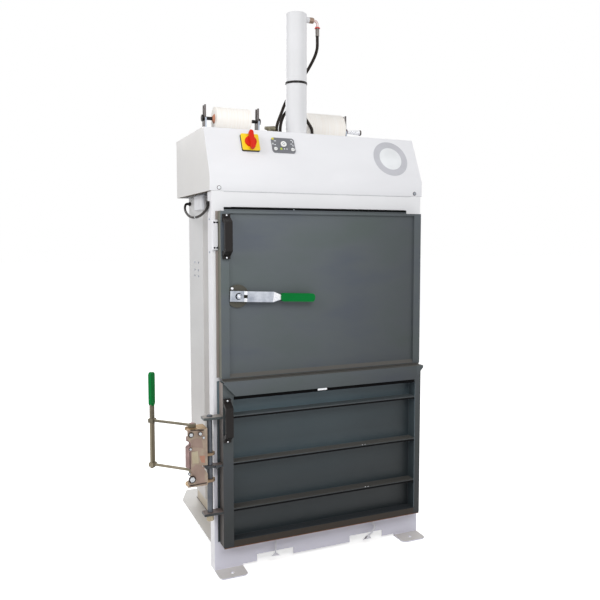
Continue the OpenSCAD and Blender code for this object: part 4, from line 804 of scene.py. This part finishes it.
def control_details():
    """The panel's lamps and marks, the buttons' symbols, and the blank disc on the slope."""
    for name, x, s, width, height, finish in MARKS:
        plate(name, box_outline(-width / 2, -height / 2, width / 2, height / 2),
              slope_spot(x, s, PANEL_FACE), RIGHT, SLOPE, MARK_DEPTH, finish, "frame")
    for name, x, s, outer, inner, body in SYMBOLS:
        ring(name, outer, inner, SYMBOL_DEPTH, slope_spot(x, s, BUTTON_FACE), SLOPE_OUT,
             "tag_grey", body)
    disc = slope_spot(DISC_X, DISC_S)
    lathe("blank_disc", [(84, 0), (84, 0.5), (83.6, 0.7)], disc, SLOPE_OUT, "disc_grey",
          "frame", 72)
    lathe("blank_disc_face", [(54, 0.5), (54, 0.9), (53.6, 1.1)], disc, SLOPE_OUT,
          "print_white", "frame", 72)


SWITCH_FRONT = -14
SWITCH_SCREWS = [(-474, 1311), (-463, 1311), (-474, 1410), (-463, 1410)]
FLOOR_Z, WALL_LEFT = 105, -410


def side_details():
    """The switch's screws, a line of painted shade in the corner at the left wall's foot, and
    the rings of the cords.
    """
    for x, z in SWITCH_SCREWS:
        screw(f"switch_screw_{-x}_{z}", spot(x, SWITCH_FRONT, z), OUT, 7, "gap_black", "frame")
    # A dark line of painted shade where the left wall meets the base
    # Its outline, seen from the left, starts 546 behind the front and ends 60 behind it
    plate("floor_corner_shade", box_outline(-546, FLOOR_Z, -60, FLOOR_Z + 3), spot(WALL_LEFT, 0, 0),
          OUT, UP, 1.2, "screw_dark", "frame")
    ring("ferrule_ring", 13, 7, 5, spot(FERRULE_X, FERRULE_Y, 2298), UP, "ring_red", "frame")
    ring("cable_tie", 7.4, 5, 5, spot(-489.3, 199, 1436.5), BACK, "print_white", "frame")


STRAP = 1.6  # thickness
TAIL_LEFT = [(-222, 40, 106.1), (-222, 4, 106.1), (-222, -5, 105.9), (-222, -13, 97),
             (-222, -17, 81), (-223, -19, 60), (-224, -20, 46), (-225, -21, 38)]
TAIL_RIGHT = [(222, 40, 106.1), (222, 4, 106.1), (222, -5, 105.9), (232, -13, 95),
              (246, -17, 80), (250, -18, 66), (240, -20, 52), (226, -22, 43), (212, -24, 36)]
RIGHT_END_X, RIGHT_END_FRONT = 207, -24.5


def strap_details():
    """Strap ends that hang out of the grooves, each with its flared end, the right one with
    painted shade.
    """
    left = ribbon("strap_left", TAIL_LEFT, 7, STRAP, "strap_tape")
    right = ribbon("strap_right", TAIL_RIGHT, 9, STRAP, "strap_tape")
    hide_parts("strap_tails")
    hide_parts("strap_tails")
    # A dark line of painted shade along the right tail's outer edge, below its groove
    ribbon("strap_right_shade", [(x + 5, y + 1, z - 1) for x, y, z in TAIL_RIGHT[3:]], 1.6, 1.8,
           "screw_dark")
    plate("strap_left_end", [(-5, 42), (5, 42), (21, 27.5), (-20, 30.5)], spot(-225, -21.8, 0),
          RIGHT, UP, STRAP, "strap_tape", "frame")
    plate("strap_right_end", [(-4, 40), (9, 44), (22, 24), (-23, 22.5)],
          spot(RIGHT_END_X, RIGHT_END_FRONT, 0), RIGHT, UP, STRAP, "strap_tape", "frame")
    # A dark patch of painted shade on the right end
    plate("strap_right_shade_patch", [(-5, 36), (3, 38), (-6, 27), (-14, 26.5)],
          spot(RIGHT_END_X, RIGHT_END_FRONT - STRAP, 0), RIGHT, UP, 0.6, "screw_dark", "frame")


def make_details():
    door_details()
    latch_details()
    lock_details()
    control_details()
    side_details()
    strap_details()


# ---------------------------------------------------------------- dressed CAD nodes
FLAT = math.radians(0.5)  # faces that turn less than this are merged
SAME_SPOT = 0.000001  # vertices nearer than this, in metres, are one
FACING, STEEP, LEANING = 0.7, 0.5, 0.3  # how much of a normal points along an axis
# Places that tell one face of a part from another, as numbers or as pairs of bounds
UPPER_LEFT_FACE, LOWER_LEFT_FACES = -455.5, -445.5
RECESS_RIGHT = 400
UPPER_DOOR_FOOT = 900
LOWER_DOOR_FOOT, LOWER_DOOR_LIP, LOWER_DOOR_HEAD = 130, 160, 780
TOP_RIB = (640, 680)
RIB_GROOVE = (-46, -38)
PANEL_DEPTH = -12
POST_FOOT = 20
ARM_LOW, ARM_BACK = 600, 100
LOCK_MIDDLE = (396, 600)
LOCK_INNER_CHEEK = -530
LEVER_JOGGLE = (-367, -354)
FORK_PRONG = 1846
CORE_END = (-418, -405)
KNOB_TIP, ROD, ROD_END = 326, 344, 398
COVER_FITTINGS, FERRULES = 1900, 2301
LEFT_NUT = 84


def within(value, bounds):
    return bounds[0] < value < bounds[1]


# Painted light on the upper door: an olive tone for its lit left side face, and the ledges' warm
# brown on upward faces near its foot
def upper_door_paint(p, n):
    if n.x < -FACING and p.x < UPPER_LEFT_FACE:
        return "edge_olive"
    if n.z > LEANING and p.z < UPPER_DOOR_FOOT:
        return "door_ledge"


# The back plate's edges in the doors' warm lit side tone, painted reflected light; its back
# keeps the door paint
def back_plate_paint(p, n):
    return None if n.y > FACING else "door_edge"


# Lit and shaded copies of the white on the cover's left side and front, and a dark brown
# underside: painted light and shade
def cover_paint(p, n):
    if n.x < -FACING:
        return "cover_side"
    if n.y < -LEANING:
        return "cover_front"
    if n.z < -FACING:
        return "cover_under"


# The posts' left sides in a lit copy of the white, painted light, and upward faces at the
# frame's foot in a darker copy, painted shade
def frame_paint(p, n):
    if n.x < -FACING and p.x < 0:
        return "post_side"
    if n.z > FACING and p.z < POST_FOOT:
        return "foot_face"


# Left faces of the base and the left side channel in a lit copy of the white, with painted shade
# towards the floor
def side_paint(p, n):
    return "base_side" if n.x < -FACING else None


def arm_paint(p, n):
    return "arm_dark" if p.z > ARM_LOW and p.y < ARM_BACK and abs(n.z) < FACING else None


# Painted light and shade on the lower door: a warm lit tone on its left side faces and a lit
# copy on the recess's right sides, a lit top on the highest rib, a dark top on the lowest rail
# and warm brown on other tops, black for painted shadow on undersides and in the grooves under
# the ribs, and the recessed panels' painted shade. Undersides at the foot take the rust colour.
def lower_door_paint(p, n):
    if n.x < -FACING and p.x < LOWER_LEFT_FACES:
        return "door_edge"
    if n.x < -FACING and p.x > RECESS_RIGHT:
        return "recess_side"
    if n.z > FACING and within(p.z, TOP_RIB):
        return "ledge_top"
    if n.z > FACING and p.z < LOWER_DOOR_LIP:
        return "ledge_low"
    if n.z > FACING and p.z < LOWER_DOOR_HEAD:
        return "door_ledge"
    if n.z < -FACING:
        return "gap_black" if p.z > LOWER_DOOR_FOOT else "rust_line"
    if n.y < -FACING and p.y > PANEL_DEPTH:
        return "door_panel"
    if n.y < -FACING and within(p.y, RIB_GROOVE):
        return "gap_black"


# The chute's top in the ledges' warm brown, painted reflected light, and its underside and back
# black for painted shadow
def chute_paint(p, n):
    if n.z > FACING:
        return "door_ledge"
    if n.z < -STEEP or n.y > FACING:
        return "gap_black"


# Upward faces of the lock's brackets: lighter above the lock's middle and darker below it,
# painted light and shade
def bracket_paint(p, n):
    if n.z > FACING:
        return "bracket_low" if p.z < LOCK_MIDDLE[1] else "bracket_top"


def housing_paint(p, n):
    if not within(p.z, LOCK_MIDDLE):
        return "gold_plate"
    if p.x > LOCK_INNER_CHEEK:
        return "yellow_zinc"


# The prongs' sides darker than their feet: painted shade
def fork_paint(p, n):
    return "prong_dark" if p.z > FORK_PRONG and abs(n.z) < FACING else None


def front_spindle_paint(p, n):
    return "core_board" if within(p.x, CORE_END) else None


def rear_spindle_paint(p, n):
    if p.x > ROD_END:
        return "screw_dark"
    if p.x > ROD:
        return "zinc_and_highlight"
    if p.x > KNOB_TIP:
        return "knob_tip"


def fitting_paint(p, n):
    if p.z < COVER_FITTINGS:
        return "olive_metal"
    if p.z < FERRULES:
        return "ferrule_grey"
    return "nut_brown" if p.x < LEFT_NUT else "pink_metal"


# The joggle's faces in bright zinc: a painted highlight
def lever_paint(p, n):
    return "zinc_and_highlight" if n.y < -LEANING and within(p.x, LEVER_JOGGLE) else None


# Each gives the finish of a face from its middle and normal, or None for the node's own
PAINTS = {
    "upper_door": upper_door_paint,
    "upper_door_back": back_plate_paint,
    "top_cover": cover_paint,
    "front_frame": frame_paint,
    "lower_door": lower_door_paint,
    "loading_chute": chute_paint,
    "lock_brackets": bracket_paint,
    "lock_housing": housing_paint,
    "roll_brackets": fork_paint,
    "front_spindle": front_spindle_paint,
    "rear_spindle": rear_spindle_paint,
    "hose_fittings": fitting_paint,
    "latch_lever": lever_paint,
    "lock_lever": arm_paint,
    "base_plate": side_paint,
    "side_channel_left": side_paint,
}
# Nodes whose finish is not the one named after their slot
FINISHES = {
    "door_seal": "gap_black",
    # A brighter white for the lit left wall: painted light
    "side_wall_left": "wall_paint",
    # With painted shade across its round
    "cylinder_tube": "cylinder_paint",
    "roll_brackets": "bracket_zinc",
    "lock_lever": "lever_steel",
    "lock_housing": "lock_face",
    "lock_spindle": "mauve_steel",
    "lock_nut": "lock_beige",
}
# Rounding of edges, in millimetres
EDGES = {"top_cover": 2.0, "front_frame": 1.2, "upper_door": 1.0, "lower_door": 1.0,
         "loading_chute": 0.9}
USUAL_EDGE = 0.6
# Inner nodes that show only with a door open keep their CAD mesh
PLAIN = ["oil_tank", "press_platen", "piston_rod"]


def dress(name, finish, edge, paint):
    """A copy of a CAD node with rounded edges, which stands for it."""
    mesh = bmesh.new()
    mesh.from_mesh(NODES[name].data)
    bmesh.ops.remove_doubles(mesh, verts=mesh.verts, dist=SAME_SPOT)
    bmesh.ops.dissolve_limit(mesh, angle_limit=FLAT, verts=mesh.verts, edges=mesh.edges)
    finishes = [finish]
    if paint:
        mesh.normal_update()
        for face in mesh.faces:
            middle = face.calc_center_median() / MM
            middle.y -= FRONT
            own = paint(middle, face.normal) or finish
            if own not in finishes:
                finishes.append(own)
            face.material_index = finishes.index(own)
    soften(mesh, edge)
    piece = link_mesh(name + "_skin", mesh, finishes, NODES[name]["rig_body"])
    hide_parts(name)


def dress_cad_nodes():
    for part in frame["record"]["subparts"]:
        name, slot = part["node"], part["material_slot"]
        node = NODES[name]
        if node.hide_render:
            continue
        finish = FINISHES.get(name, slot)
        node.data.materials.clear()
        node.data.materials.append(MATERIALS[finish])
        if name not in PLAIN:
            dress(name, finish, EDGES.get(name, USUAL_EDGE), PAINTS.get(name))


# ---------------------------------------------------------------- light and floor
LAMPS = [  # name, place, point it looks at, size, watts
    ("key", (-0.4, -2.6, 2.9), (0, 0.2, 1.3), (2.0, 1.4), 42),
    ("left", (-3.0, -0.9, 2.6), (0, 0.3, 1.2), (1.6, 1.6), 40),
    ("right", (3.0, 0.4, 2.6), (0, 0.3, 1.2), (1.6, 1.6), 18),
    ("back", (0.0, 3.2, 2.8), (0, 0.3, 1.2), (2.0, 1.4), 50),
]
SKY = 0.42
SKY_COLOUR = (0.98, 0.99, 1.0, 1.0)
WHITE = (1, 1, 1, 1)
FLOOR_HALF = 40.0
FLOOR_DROP = 0.0005
FLOOR_COLOUR = (0.85, 0.85, 0.85, 1)
FLOOR_GLOW = 0.66


def make_lamps():
    for name, at, look_at, size, watts in LAMPS:
        data = bpy.data.lights.new(name, "AREA")
        data.shape = "RECTANGLE"
        data.size, data.size_y = size
        data.energy = watts
        lamp = bpy.data.objects.new(name, data)
        lamp.location = at
        lamp.rotation_euler = (Vector(look_at) - Vector(at)).to_track_quat("-Z", "Y").to_euler()
        bpy.context.scene.collection.objects.link(lamp)


def seen_directly(tree):
    """1 for camera rays and for what glossy and clear surfaces show, 0 for soft light."""
    rays = tree.nodes.new("ShaderNodeLightPath")
    total = rays.outputs["Is Camera Ray"]
    for other in ("Is Glossy Ray", "Is Transmission Ray"):
        add = tree.nodes.new("ShaderNodeMath")
        add.operation = "ADD"
        add.use_clamp = True
        tree.links.new(total, add.inputs[0])
        tree.links.new(rays.outputs[other], add.inputs[1])
        total = add.outputs["Value"]
    return total


def make_world():
    """A white backdrop, and a softer sky that lights the scene."""
    world = bpy.data.worlds.new("studio")
    bpy.context.scene.world = world
    world.use_nodes = True
    tree = world.node_tree
    sky = tree.nodes["Background"]
    sky.inputs["Color"].default_value = SKY_COLOUR
    sky.inputs["Strength"].default_value = SKY
    backdrop = tree.nodes.new("ShaderNodeBackground")
    backdrop.inputs["Color"].default_value = WHITE
    backdrop.inputs["Strength"].default_value = 1.0
    mix = tree.nodes.new("ShaderNodeMixShader")
    tree.links.new(seen_directly(tree), mix.inputs["Fac"])
    tree.links.new(sky.outputs["Background"], mix.inputs[1])
    tree.links.new(backdrop.outputs["Background"], mix.inputs[2])
    tree.links.new(mix.outputs["Shader"], tree.nodes["World Output"].inputs["Surface"])


def make_floor():
    """A wide floor that glows where it is seen, so that it meets the white backdrop."""
    half = FLOOR_HALF
    mesh = bpy.data.meshes.new("floor")
    mesh.from_pydata([(-half, -half, 0), (half, -half, 0), (half, half, 0), (-half, half, 0)],
                     [], [(0, 1, 2, 3)])
    floor = bpy.data.objects.new("floor", mesh)
    floor.location.z = -FLOOR_DROP
    bpy.context.scene.collection.objects.link(floor)
    material = bpy.data.materials.new("floor")
    material.use_nodes = True
    tree = material.node_tree
    tree.nodes.remove(tree.nodes["Principled BSDF"])
    diffuse = tree.nodes.new("ShaderNodeBsdfDiffuse")
    diffuse.inputs["Color"].default_value = FLOOR_COLOUR
    glow = tree.nodes.new("ShaderNodeEmission")
    strength = tree.nodes.new("ShaderNodeMath")
    strength.operation = "MULTIPLY"
    strength.inputs[1].default_value = FLOOR_GLOW
    add = tree.nodes.new("ShaderNodeAddShader")
    tree.links.new(seen_directly(tree), strength.inputs[0])
    tree.links.new(strength.outputs["Value"], glow.inputs["Strength"])
    tree.links.new(diffuse.outputs["BSDF"], add.inputs[0])
    tree.links.new(glow.outputs["Emission"], add.inputs[1])
    tree.links.new(add.outputs["Shader"], tree.nodes["Material Output"].inputs["Surface"])
    mesh.materials.append(material)


make_camera()
make_paints()
make_metals()
make_plastics()
make_cords()
make_details()
dress_cad_nodes()
make_world()
make_floor()
make_lamps()
bpy.context.scene.view_settings.view_transform = "Standard"
